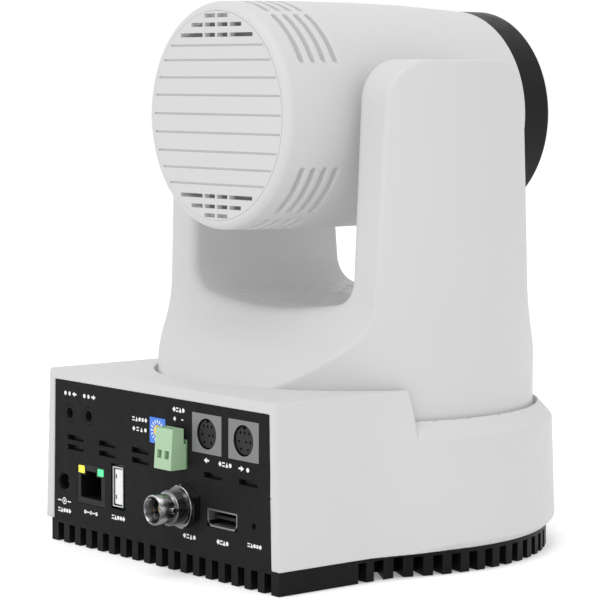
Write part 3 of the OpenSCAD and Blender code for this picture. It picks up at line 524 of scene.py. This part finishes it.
def housing_distance(x, y, z):
    rho = np.hypot(x, y)
    outside = housing_outside(x, y, z)
    pocket = np.maximum(rho - POCKET_R, POCKET_FLOOR_Z - z)
    shape = soft_and(outside, -pocket, EDGE_R["pocket"])
    room = housing_outside(x, y, z, open_ends=True) + WALL
    room = np.maximum(room, WALL - pocket)
    room = np.maximum(room, z - DECK_Z + DECK_WALL)
    block_room = np.maximum(np.abs(x) - block_half(z) + SIDE_WALL, 20 - y)
    room = np.maximum(room, np.minimum(rho - FRONT_R + SKIRT_CHAMFER + WALL, block_room))
    room = np.maximum(room, y - REAR_Y + PANEL_RIM)
    shape = np.maximum(shape, -room)
    # opening that the rear panel fills
    lean = (PANEL_HALF_HIGH - PANEL_HALF_LOW) / (PANEL_TOP_Z - SKIRT_Z)
    opening = np.maximum(np.abs(x) - PANEL_HALF_LOW - lean * (z - SKIRT_Z) - SEAM, z - PANEL_TOP_Z - SEAM)
    opening = np.maximum(opening, REAR_Y - PANEL_RIM - 1 - y)
    shape = soft_and(shape, -opening, EDGE_R["opening"])
    # infrared window in the round front
    window = np.hypot(np.maximum(np.abs(x) - WINDOW_HALF, 0), z - WINDOW_Z) - WINDOW_R
    window = np.maximum(window, y)
    shape = soft_and(shape, -window, EDGE_R["window"])
    # seat of the pan bearing and the hole for the spindle
    seat = np.maximum(rho - BEARING_SEAT_R, np.maximum(BEARING_SEAT_LOW_Z - z, z - BEARING_SEAT_HIGH_Z))
    shape = np.minimum(shape, seat)
    return np.maximum(shape, SPINDLE_HOLE_R - rho - 0 * z)


# ---------------------------------------------------------------- yoke

def arm_edge(centre, radius, top_angle, low_angle, corner_z):
    """One edge of the arms in (y, z): a steep line, a hollow curve, then a slope out to the rim."""
    lean, fall = math.radians(top_angle - 180), math.radians(low_angle - 180)
    angles = [math.radians(top_angle + (low_angle - top_angle) * i / 12) for i in range(13)]
    curve = [(centre[0] + radius * math.cos(a), centre[1] + radius * math.sin(a)) for a in angles]
    climb = (corner_z - curve[0][1]) / math.cos(lean)
    first = (curve[0][0] - climb * math.sin(lean), corner_z)
    last = (curve[-1][0] + 30 * math.sin(fall), curve[-1][1] - 30 * math.cos(fall))
    return [first] + curve + [last]


def arm_outline():
    """Side view of the yoke in (y, z)."""
    rear = arm_edge(*REAR_CURVE, ARM_TOP_Z - REAR_CORNER_R)
    front = [(-y, z) for y, z in arm_edge(*FRONT_CURVE, ARM_TOP_Z - FRONT_CORNER_R)]
    rear_top = corner_arc(REAR_CORNER_Y, REAR_CORNER_R, 88, 3)
    front_top = corner_arc(FRONT_CORNER_Y, FRONT_CORNER_R, 174, 92)
    return rear_top + rear + [(rear[-1][0], 20), (front[-1][0], 20)] + front[::-1] + front_top


def corner_arc(centre_y, radius, start, end):
    """Points of a top corner of the arms, between two angles in degrees."""
    turns = [math.radians(start + (end - start) * i / 12) for i in range(13)]
    return [(centre_y + radius * math.cos(a), ARM_TOP_Z - radius + radius * math.sin(a)) for a in turns]


def gap_outline():
    """Front view of the gap between the arms in (x, z)."""
    corner_x = GAP_HALF - GAP_FILLET
    floor_z = SADDLE_Z + SADDLE_R
    corner_z = floor_z - math.sqrt((SADDLE_R - GAP_FILLET) ** 2 - corner_x ** 2)
    touch = math.atan2(corner_x, floor_z - corner_z)
    floor = [touch * (i / 12 - 1) for i in range(25)]
    floor = [(SADDLE_R * math.sin(a), floor_z - SADDLE_R * math.cos(a)) for a in floor]
    turns = [touch + (math.pi / 2 - touch) * i / 8 for i in range(1, 9)]
    right = [(corner_x + GAP_FILLET * math.sin(a), corner_z - GAP_FILLET * math.cos(a)) for a in turns]
    left = [(-x, z) for x, z in reversed(right)]
    return left + floor + right + [(GAP_HALF, 260), (-GAP_HALF, 260)]


ARM_OUTLINE = arm_outline()
GAP_OUTLINE = gap_outline()


def yoke_distance(x, y, z):
    rho = np.hypot(x, y)
    side_view = polygon_distance(y, z, ARM_OUTLINE)
    gap = polygon_distance(x, z, GAP_OUTLINE)
    dish = np.maximum(np.hypot(rho, z - TILT_Z) - HEAD_SWEEP_R, z - 88)
    gap = np.minimum(gap, dish)
    drum = rho - YOKE_R
    outside = soft_and(drum, side_view, EDGE_R["arm"])
    # the gap's edge grows rounder from front to rear
    gap_r = EDGE_R["gap_front"] + (EDGE_R["gap_rear"] - EDGE_R["gap_front"]) * ease(y, -20, 20)
    shape = soft_and(outside, -gap, gap_r)
    shape = soft_and(shape, YOKE_FOOT_Z - z + 0 * shape, EDGE_R["yoke_foot"])
    room = np.maximum(np.maximum(drum, side_view) + WALL, -(gap - WALL))
    shape = np.maximum(shape, -room)
    axle = np.hypot(y, z - TILT_Z) - AXLE_HOLE_R
    axle = np.maximum(axle, np.abs(x) - 50)
    return np.maximum(shape, -axle)


# ---------------------------------------------------------------- build the shells

def build_housing():
    low, high = HOUSING_LOW, HOUSING_HIGH
    mesh = mesh_from_distance("housing_skin", housing_distance, low, high, HOUSING_VOXEL)
    return add_piece(mesh, "housing_skin", "base", ["white"], ["housing"])


def build_yoke():
    mesh = mesh_from_distance("yoke_skin", yoke_distance, YOKE_LOW, YOKE_HIGH, YOKE_VOXEL)
    replaced = ["yoke_shell", "yoke_front_cover"]
    return add_piece(mesh, "yoke_skin", "yoke", ["white"], replaced)


def turned_mesh(name, profile, axis_point, turns, around="y", relief=None):
    """A closed ring of (radius, along) points turned about an axis through a point in millimetres.

    relief, if given, lowers the radius of each vertex from its angle and its place along the axis.
    """
    radius, along = np.array(profile, float).T
    angle = np.arange(turns) * 2 * math.pi / turns
    angle_grid, radius_grid = np.meshgrid(angle, radius, indexing="ij")
    along_grid = np.broadcast_to(along, radius_grid.shape)
    if relief is not None:
        radius_grid = radius_grid - relief(angle_grid, radius_grid, along_grid)
    # angle 0 is up
    side, up = radius_grid * np.sin(angle_grid), radius_grid * np.cos(angle_grid)
    if around == "y":
        points = np.stack([side + axis_point[0], along_grid, up + axis_point[2]], axis=-1)
    else:
        points = np.stack([along_grid, side + axis_point[1], up + axis_point[2]], axis=-1)
    count = len(profile)
    i, j = np.meshgrid(np.arange(turns), np.arange(count), indexing="ij")
    next_i, next_j = (i + 1) % turns, (j + 1) % count
    corners = (i * count + j, next_i * count + j, next_i * count + next_j, i * count + next_j)
    quads = np.stack(corners, axis=-1)
    return closed_mesh(name, points.reshape(-1, 3), quads.reshape(-1, 4))


def closed_mesh(name, points, faces, sharp_angle=40):
    """A mesh with outward faces, smooth except over sharp edges."""
    mesh = mesh_of(name, points, faces)
    work = bmesh.new()
    work.from_mesh(mesh)
    bmesh.ops.recalc_face_normals(work, faces=work.faces)
    for edge in work.edges:
        if len(edge.link_faces) == 2 and edge.calc_face_angle() > math.radians(sharp_angle):
            edge.smooth = False
    work.to_mesh(mesh)
    work.free()
    return mesh


def arc(centre, radius, start, end, steps):
    """Points on an arc of (radius, along) coordinates, angles in degrees."""
    turns = [math.radians(start + (end - start) * i / steps) for i in range(steps + 1)]
    return [(centre[0] + radius * math.cos(a), centre[1] + radius * math.sin(a)) for a in turns]


# ---------------------------------------------------------------- head

VENT_Y = (33.0, 37.6, 42.1, 46.6)
VENT_ARCS = ((8, 24), (30.5, 61), (117, 145), (154, 167))
VENT_HALF_W = 1.0
VENT_DEPTH = 2.3
# places across half a groove where the profile of the head has points
VENT_STEPS = (0.6, 0.72, 0.85, 0.98, 1.3)


def vent_relief(angle, radius, along):
    """Depth of the cooling grooves, which have rounded ends."""
    degrees = np.degrees(np.abs((angle + math.pi) % (2 * math.pi) - math.pi))
    nearest = np.full(angle.shape, 9.0)
    for start, end in VENT_ARCS:
        beyond = np.maximum(np.maximum(start - degrees, degrees - end), 0) * math.radians(1) * HEAD_R
        for y in VENT_Y:
            nearest = np.minimum(nearest, np.hypot(beyond, along - y))
    depth = VENT_DEPTH * (1 - ease(nearest, VENT_HALF_W - 0.28, VENT_HALF_W + 0.04))
    return np.where(radius > HEAD_R - 1.5, depth, 0)


def build_head_shell():
    sample_y = [-HOOD_JOINT_Y, -HOOD_JOINT_Y + 0.25, -40, -30, -21, -10, 0, 12, 25, 30]
    for y in VENT_Y:
        sample_y += [y - step for step in reversed(VENT_STEPS)] + [y] + [y + step for step in VENT_STEPS]
    sample_y += [49, 51]
    # the barrel is widest in its middle
    known_y = [-HOOD_JOINT_Y, -21, 0, 25, 44, 52]
    known_r = [HEAD_R - 1.9, HEAD_R - 0.4, HEAD_R, HEAD_R, HEAD_R - 0.3, HEAD_R - 0.6]
    outer = [(float(np.interp(y, known_y, known_r)), y) for y in sample_y]
    rim_r = 2.8
    rim = arc((HEAD_R - 0.6 - rim_r, HEAD_REAR_Y - rim_r), rim_r, 0, 90, 10)
    seat = CAP_R + 0.05
    inside = [(seat + 0.15, HEAD_REAR_Y), (seat, HEAD_REAR_Y - 0.15), (seat, HEAD_REAR_Y - 2.32),
              (CAP_R - 2, HEAD_REAR_Y - 2.32), (CAP_R - 2, HEAD_REAR_Y - 4), (HEAD_R - 3, 42),
              (HEAD_R - HEAD_WALL, 25), (HEAD_R - HEAD_WALL, 0), (HEAD_R - 2.8, -21),
              (HEAD_R - 4.3, -HOOD_JOINT_Y)]
    axis = (0, 0, TILT_Z)
    mesh = turned_mesh("head_barrel", outer + rim + inside, axis, 900, relief=vent_relief)
    add_piece(mesh, "head_barrel", "head", ["white"], ["head_shell"])
    for side, name in ((-1, "left"), (1, "right")):
        profile = [(r, side * x) for r, x in (
            (5.1, 33), (HUB_R, 33), (HUB_R, GAP_HALF - 0.9), (HUB_R - 0.5, GAP_HALF - 0.4),
            (5.1, GAP_HALF - 0.4))]
        hub = turned_mesh("hub_" + name, profile, axis, 96, around="x")
        add_piece(hub, "hub_" + name, "head", ["white"])


# ---------------------------------------------------------------- ribs on the floor of the saddle

# rows of short ribs, each as first (x, y), last (x, y) and count
RIB_ROWS = (((40, 13), (30, 25.5), 4), ((39, 6), (26, 22.5), 5), ((37.5, -0.5), (21, 21), 6),
            ((36, -8), (14, 20), 7), ((34.8, -15), (7, 22), 8), ((31, -20.7), (-3, 23), 9),
            ((28, -26), (-10, 22), 9))
RIB_HALF_LEN = 1.7
RIB_HALF_W = 0.6
RIB_HEIGHT = 0.3


def saddle_height(x, y):
    """Height of the saddle floor, with the dish under the head."""
    floor = SADDLE_Z + SADDLE_R - np.sqrt(SADDLE_R ** 2 - x * x)
    dish = TILT_Z - np.sqrt(HEAD_SWEEP_R ** 2 - x * x - y * y)
    return np.minimum(floor, dish)


def build_saddle_ribs():
    turns = np.arange(16) * math.pi / 8
    points, faces = [], []
    for first, last, count in RIB_ROWS:
        heading = math.atan2(last[1] - first[1], last[0] - first[0]) + math.pi / 2
        for share in np.linspace(0, 1, count):
            centre = np.array(first) + (np.array(last) - np.array(first)) * share
            base = len(points)
            for scale, rise in ((1.0, -0.15), (0.8, 0.55), (0.5, 0.85)):
                along, across = RIB_HALF_LEN * scale * np.cos(turns), RIB_HALF_W * scale * np.sin(turns)
                x = centre[0] + along * math.cos(heading) - across * math.sin(heading)
                y = centre[1] + along * math.sin(heading) + across * math.cos(heading)
                points += list(zip(x, y, saddle_height(x, y) + RIB_HEIGHT * rise))
            points.append((*centre, saddle_height(*centre) + RIB_HEIGHT))
            for ring in (0, 16):
                faces += [[base + ring + i, base + ring + (i + 1) % 16, base + ring + 16 + (i + 1) % 16,
                           base + ring + 16 + i] for i in range(16)]
            faces += [[base + 32 + i, base + 32 + (i + 1) % 16, base + 48] for i in range(16)]
            faces.append([base + i for i in reversed(range(16))])
    add_piece(closed_mesh("saddle_ribs", points, faces), "saddle_ribs", "yoke", ["white"])


# ---------------------------------------------------------------- coaxial socket

THREAD_START = 3.2
THREAD_PITCH = 0.62
THREAD_DEPTH = 0.45
THREAD_TURNS = 8
WASHER_R = 6.7
LUG_ALONG = 9.5
COAX_BORE_FLOOR = 4.0
COAX_CORE_R = 2.4


def build_coax():
    base = PANEL_Y
    thread = []
    for i in range(THREAD_TURNS):
        start = base + THREAD_START + i * THREAD_PITCH
        thread += [(BNC_THREAD_R - THREAD_DEPTH, start), (BNC_THREAD_R, start + 0.22),
                   (BNC_THREAD_R, start + 0.40)]
    collar_y = BNC_TIP_Y - BNC_COLLAR
    flange_r = BNC_THREAD_R + 1.2
    root = [(flange_r, BNC_ROOT_Y), (flange_r, base - 1.52), (BNC_THREAD_R - 0.02, base - 1.52)]
    neck = [(BNC_THREAD_R - 0.3, base + 8.1), (BNC_NECK_R, base + 8.3), (BNC_NECK_R, collar_y - 0.15)]
    tip = [(BNC_R, collar_y), (BNC_R, BNC_TIP_Y - 0.35), (BNC_R - 0.15, BNC_TIP_Y - 0.08),
           (BNC_R - 0.3, BNC_TIP_Y), (BNC_BORE_R + 0.15, BNC_TIP_Y), (BNC_BORE_R, BNC_TIP_Y - 0.2)]
    floor_y = base + COAX_BORE_FLOOR
    bore = [(BNC_BORE_R, floor_y), (COAX_CORE_R, floor_y), (COAX_CORE_R, BNC_ROOT_Y)]
    barrel = turned_mesh("coax_barrel", root + thread + neck + tip + bore, BNC_CENTRE, 96)
    add_piece(barrel, "coax_barrel", "base", ["chrome"], ["bnc_barrel"])
    lug_y = base + LUG_ALONG
    for side, name in ((-1, "left"), (1, "right")):
        profile = [(0.01, 4.2), (1.0, 4.2), (1.0, 5.45), (0.85, 5.6), (0.01, 5.6)]
        profile = [(r, BNC_CENTRE[0] + side * x) for r, x in profile]
        lug = turned_mesh("coax_lug_" + name, profile, (0, lug_y, BNC_CENTRE[2]), 32, around="x")
        add_piece(lug, "coax_lug_" + name, "base", ["chrome"])
    washer = [(BNC_THREAD_R + 0.05, base + 3.1), (WASHER_R - 0.2, base + 3.1), (WASHER_R, base + 3.3),
              (WASHER_R, base + 3.8), (WASHER_R - 0.2, base + 4.0), (BNC_THREAD_R + 0.05, base + 4.0)]
    add_piece(turned_mesh("coax_washer", washer, BNC_CENTRE, 96), "coax_washer", "base", ["chrome"])


# ---------------------------------------------------------------- small parts behind the rear panel

def block_mesh(name, low, high):
    """A block between two corners in millimetres."""
    points = [(x, y, z) for x in (low[0], high[0]) for y in (low[1], high[1]) for z in (low[2], high[2])]
    faces = [(0, 1, 3, 2), (4, 6, 7, 5), (0, 4, 5, 1), (2, 3, 7, 6), (0, 2, 6, 4), (1, 5, 7, 3)]
    return closed_mesh(name, points, faces)


def soft_piece(mesh, name, body, mats, width):
    obj = add_piece(mesh, name, body, mats)
    bevel = obj.modifiers.new("soft_edges", "BEVEL")
    bevel.width = width * MM
    bevel.segments = 3
    return obj


# light ticks round the rotor of the select switch
TICK_COUNT = 16
TICK_R = 3.0


def build_panel_parts():
    usb = node_centre("usb_port")
    low, high = (usb[0] - 2.4, PANEL_Y - 9, usb[2] - 5.8), (usb[0] + 1.8, PANEL_Y, usb[2] + 5.8)
    tongue = block_mesh("usb_tongue", low, high)
    soft_piece(tongue, "usb_tongue", "base", ["usb_white"], 0.3)
    for i, dz in enumerate((-3.4, 3.4)):
        window = block_mesh(f"usb_window_{i}", (usb[0] + 0.7, PANEL_Y - 2, usb[2] + dz - 0.7),
                            (usb[0] + 1.3, PANEL_Y + 0.03, usb[2] + dz + 0.7))
        soft_piece(window, f"usb_window_{i}", "base", ["black_plastic"], 0.05)
    rotor = node_centre("select_rotor")
    points, faces = [], []
    for i in range(TICK_COUNT):
        turn = 2 * math.pi * i / TICK_COUNT
        x, z = rotor[0] + TICK_R * math.cos(turn), rotor[2] + TICK_R * math.sin(turn)
        tick = bar(x, z, 1.1, 0.42, math.degrees(turn))
        new_points, new_faces = flat_shape(tick, PANEL_Y - 0.01, 0.04)
        faces += [[len(points) + j for j in face] for face in new_faces]
        points += new_points
    add_piece(closed_mesh("switch_ticks", points, faces), "switch_ticks", "base", ["ink"])
    # dark sheets behind the cooling slots: painted shade seen through them
    for name, x0, x1 in (("slot_shade_left", -52.5, -18.5), ("slot_shade_right", 4.5, 51)):
        sheet = block_mesh(name, (x0, PANEL_Y - 2.1, 31), (x1, PANEL_Y - 1.8, 38.6))
        soft_piece(sheet, name, "base", ["black_plastic"], 0.05)


# ---------------------------------------------------------------- printed symbols of the rear panel

def flat_shape(outline, y, depth=0.05):
    """Points and faces of a thin plate with an outline in (x, z), standing on the panel."""
    count = len(outline)
    points = [(x, y, z) for x, z in outline] + [(x, y + depth, z) for x, z in outline]
    faces = [list(range(count)), [count + i for i in reversed(range(count))]]
    faces += [[i, (i + 1) % count, count + (i + 1) % count, count + i] for i in range(count)]
    return points, faces


def bar(x, z, width, height, turn=0.0):
    c, s = math.cos(math.radians(turn)), math.sin(math.radians(turn))
    u, v = width / 2, height / 2
    corners = ((-u, -v), (u, -v), (u, v), (-u, v))
    return [(x + u * c - v * s, z + u * s + v * c) for u, v in corners]


def disc(x, z, radius, sides=20):
    turns = [2 * math.pi * i / sides for i in range(sides)]
    return [(x + radius * math.cos(a), z + radius * math.sin(a)) for a in turns]


def ring_bars(x, z, radius, width, sides=16):
    """A circle drawn with short bars."""
    length = 2 * math.pi * radius / sides * 1.12
    return [bar(x + radius * math.cos(a), z + radius * math.sin(a), width, length, math.degrees(a))
            for a in (2 * math.pi * i / sides for i in range(sides))]


def arrow(x, z, way, size):
    """A triangle with a short tail that points along x."""
    neck = x - way * size * 0.1
    tip = [(x + way * size, z), (neck, z + size * 0.7), (neck, z - size * 0.7)]
    return [tip, bar(x - way * size * 0.55, z, size * 0.9, size * 0.45)]


def mark_row(x, z, width, count, size=0.8):
    """A row of small plain shapes, centred on (x, z): diamonds, triangles, squares, double bars and dots."""
    shapes = []
    for i in range(count):
        at = x + width * ((i + 0.5) / count - 0.5)
        kind = (i * 2 + count) % 5
        if kind == 0:
            shapes.append(bar(at, z, size * 1.5, size * 1.5, 45))
        elif kind == 1:
            shapes.append([(at - size * 0.8, z - size), (at + size * 0.8, z - size), (at, z + size)])
        elif kind == 2:
            shapes.append(bar(at, z, size * 1.3, size * 1.5))
        elif kind == 3:
            shapes += [bar(at, z + side * size * 0.6, size * 1.7, size * 0.5) for side in (1, -1)]
        else:
            shapes.append(disc(at, z, size * 0.85))
    return shapes


# heights of the rows of symbols
JACK_MARKS_Z = 51.0
SWITCH_MARKS_Z = (46.6, 43.4)
TERMINAL_MARKS_Z = 51.9
POLARITY_Z = 48.9
SERIAL_MARKS_Z = (37.6, 37.4, 37.2)
POLES_Z = 14.4
LOW_MARKS_Z = 12.4
PORT_MARKS_Z = 12.9
RESTORE_MARKS_Z = 14.2
POWER_MARKS_Z = 11.2


def symbols():
    """Plain pictograms near the connectors: none of them is a letter."""
    marks = []
    for name, way in (("line_in_jack", 1), ("line_out_jack", -1)):
        x = node_centre(name)[0]
        marks += arrow(x - 2.8, JACK_MARKS_Z, way, 1.2) + mark_row(x + 1.2, JACK_MARKS_Z, 4.8, 2)
    x = node_centre("select_switch_body")[0] + 9.6
    for z, count in zip(SWITCH_MARKS_Z, (5, 4)):
        marks += mark_row(x, z, 8.4, count, 0.75)
    x = node_centre("terminal_plug")[0]
    marks += mark_row(x - 0.2, TERMINAL_MARKS_Z, 6.4, 4)
    marks += [bar(x + 1.9, POLARITY_Z, 1.1, 1.1, 45), bar(x - 2.1, POLARITY_Z, 1.0, 0.4)]
    in_x, out_x = node_centre("serial_in_socket")[0], node_centre("serial_out_socket")[0]
    marks += arrow(in_x + 0.2, SERIAL_MARKS_Z[0], 1, 1.3)
    marks += mark_row((in_x + out_x) / 2, SERIAL_MARKS_Z[1], 6.8, 4)
    marks += arrow(out_x + 1.2, SERIAL_MARKS_Z[2], -1, 1.3) + [disc(out_x - 2.0, SERIAL_MARKS_Z[2] - 0.1, 0.7)]
    x = node_centre("dc_jack")[0]
    marks += ring_bars(x, POLES_Z, 1.0, 0.35) + [disc(x, POLES_Z, 0.4)]
    marks += [bar(x + side * 2.8, POLES_Z, 2.0, 0.4) for side in (-1, 1)]
    marks += mark_row(x, POWER_MARKS_Z, 7.6, 5)
    x = node_centre("lan_jack")[0]
    marks += [disc(x + dx, LOW_MARKS_Z, 0.65) for dx in (-3.2, 0, 3.2)] + [bar(x, LOW_MARKS_Z, 6.4, 0.35)]
    marks += mark_row(node_centre("usb_port")[0], PORT_MARKS_Z, 7.4, 5)
    marks += mark_row(BNC_CENTRE[0] - 0.6, LOW_MARKS_Z, 6.8, 4)
    marks += mark_row(node_centre("hdmi_port")[0] - 0.4, PORT_MARKS_Z, 6.0, 4)
    marks += mark_row(node_centre("restore_button")[0] - 0.4, RESTORE_MARKS_Z, 7.0, 5, 0.7)
    return marks


def build_symbols():
    points, faces = [], []
    for outline in symbols():
        new_points, new_faces = flat_shape(outline, PANEL_Y - 0.01)
        faces += [[len(points) + i for i in face] for face in new_faces]
        points += new_points
    add_piece(closed_mesh("panel_symbols", points, faces), "panel_symbols", "base", ["ink"])


build_housing()
build_yoke()
build_head_shell()
build_saddle_ribs()
build_coax()
build_panel_parts()
build_symbols()


# ---------------------------------------------------------------- materials of the CAD nodes that stay

NODE_MATERIALS = {
    "base_plate": "black_paint", "rubber_feet": "rubber", "base_screws": "steel", "tripod_insert": "brass",
    "rear_panel": "panel", "ir_window": "window", "main_board": "board", "connector_board": "board",
    "line_in_jack": "panel", "line_out_jack": "panel", "select_switch_body": "blue",
    "select_rotor": "yellow", "terminal_header": "green_dark", "terminal_plug": "green", "terminal_screws": "steel",
    "serial_in_socket": "socket_in", "serial_out_socket": "socket_out", "dc_jack": "black_plastic",
    "lan_jack": "black_plastic",
    "lan_led_yellow": "led_yellow", "lan_led_green": "led_green", "usb_port": "usb", "bnc_barrel": "chrome",
    "bnc_nut": "nut", "bnc_insulator": "ptfe", "bnc_contact": "brass", "hdmi_port": "grey",
    "restore_switch": "black_plastic", "restore_button": "black_plastic", "pan_bearing_outer": "steel",
    "pan_bearing_inner": "steel", "pan_pulley": "anodised", "pan_belt": "belt", "pan_motor": "motor",
    "pan_pinion": "brass", "turntable": "anodised", "yoke_frame": "anodised", "tilt_bearings": "steel",
    "tilt_motor": "motor", "tilt_pinion": "brass", "tilt_belt": "belt", "tilt_pulley": "anodised",
    "tilt_axle_left": "steel", "tilt_axle_right": "steel", "head_shell": "white", "rear_cap": "white",
    "cap_screen": "screen",
    "lens_hood": "hood", "front_bezel": "black_plastic", "front_glass": "glass", "head_frame": "anodised",
    "lens_barrel": "black_plastic", "guide_rods": "steel", "zoom_group": "glass", "focus_group": "glass",
    "sensor_board": "board",
}


def paint_nodes():
    for name, mat in NODE_MATERIALS.items():
        materials = NODES[name].data.materials
        materials.clear()
        materials.append(MATS[mat])


SOFT_EDGES = {
    "bnc_nut": 0.3, "terminal_plug": 0.25, "select_switch_body": 0.2, "lens_hood": 0.3, "base_plate": 0.15,
    "lan_jack": 0.15, "hdmi_port": 0.1,
}


def soften_edges():
    """Small rounded edges on the carried-over CAD nodes."""
    for name, width in SOFT_EDGES.items():
        bevel = NODES[name].modifiers.new("soft_edges", "BEVEL")
        bevel.width = width * MM
        bevel.segments = 2
        bevel.limit_method = "ANGLE"
        bevel.angle_limit = math.radians(40)


paint_nodes()
soften_edges()


# ---------------------------------------------------------------- camera, floor and light

def place_camera():
    """Looks at the rear and the left side from a little above the head."""
    distance, azimuth, height = 826.4, 229.28, 155.3
    turn, pitch, roll = math.radians(1.07), math.radians(-5.11), math.radians(0.215)
    angle = math.radians(azimuth)
    spot = Vector((math.sin(angle) * distance, -math.cos(angle) * distance, height)) * MM
    heading = math.atan2(-spot.y, -spot.x) + turn
    level = math.cos(pitch)
    ahead = Vector((math.cos(heading) * level, math.sin(heading) * level, math.sin(pitch)))
    right = ahead.cross(Vector((0, 0, 1))).normalized()
    up = right.cross(ahead)
    right, up = right * math.cos(roll) + up * math.sin(roll), up * math.cos(roll) - right * math.sin(roll)
    data = bpy.data.cameras.new("camera")
    data.sensor_width = 36
    data.lens = 147.45
    data.clip_end = 20
    camera = bpy.data.objects.new("camera", data)
    camera.matrix_world = Matrix((
        (right.x, up.x, -ahead.x, spot.x), (right.y, up.y, -ahead.y, spot.y),
        (right.z, up.z, -ahead.z, spot.z), (0, 0, 0, 1)))
    bpy.context.scene.collection.objects.link(camera)
    bpy.context.scene.camera = camera


def area_light(name, place, target, size, power, colour=(1, 1, 1)):
    data = bpy.data.lights.new(name, "AREA")
    data.shape = "DISK"
    data.size = size
    data.energy = power
    data.color = colour
    lamp = bpy.data.objects.new(name, data)
    lamp.location = place
    lamp.rotation_euler = (Vector(target) - Vector(place)).to_track_quat("-Z", "Y").to_euler()
    bpy.context.scene.collection.objects.link(lamp)


def light_scene():
    world = bpy.data.worlds.new("studio")
    bpy.context.scene.world = world
    world.use_nodes = True
    world.node_tree.nodes["Background"].inputs["Color"].default_value = (1, 1, 1, 1)
    world.node_tree.nodes["Background"].inputs["Strength"].default_value = 1.0
    middle = (0, 0, 0.1)
    area_light("key", (-0.75, 0.65, 0.45), middle, 0.6, 0.1)
    area_light("top", (-0.25, 0.6, 1.2), middle, 0.8, 6.0)


def lay_floor():
    mesh = bpy.data.meshes.new("floor")
    reach = 6.0
    corners = [(-reach, -reach, 0), (reach, -reach, 0), (reach, reach, 0), (-reach, reach, 0)]
    mesh.from_pydata(corners, [], [(0, 1, 2, 3)])
    floor = bpy.data.objects.new("floor", mesh)
    bpy.context.scene.collection.objects.link(floor)
    mesh.materials.append(MATS["floor"])


bpy.context.scene.view_settings.view_transform = "Standard"
place_camera()
light_scene()
lay_floor()
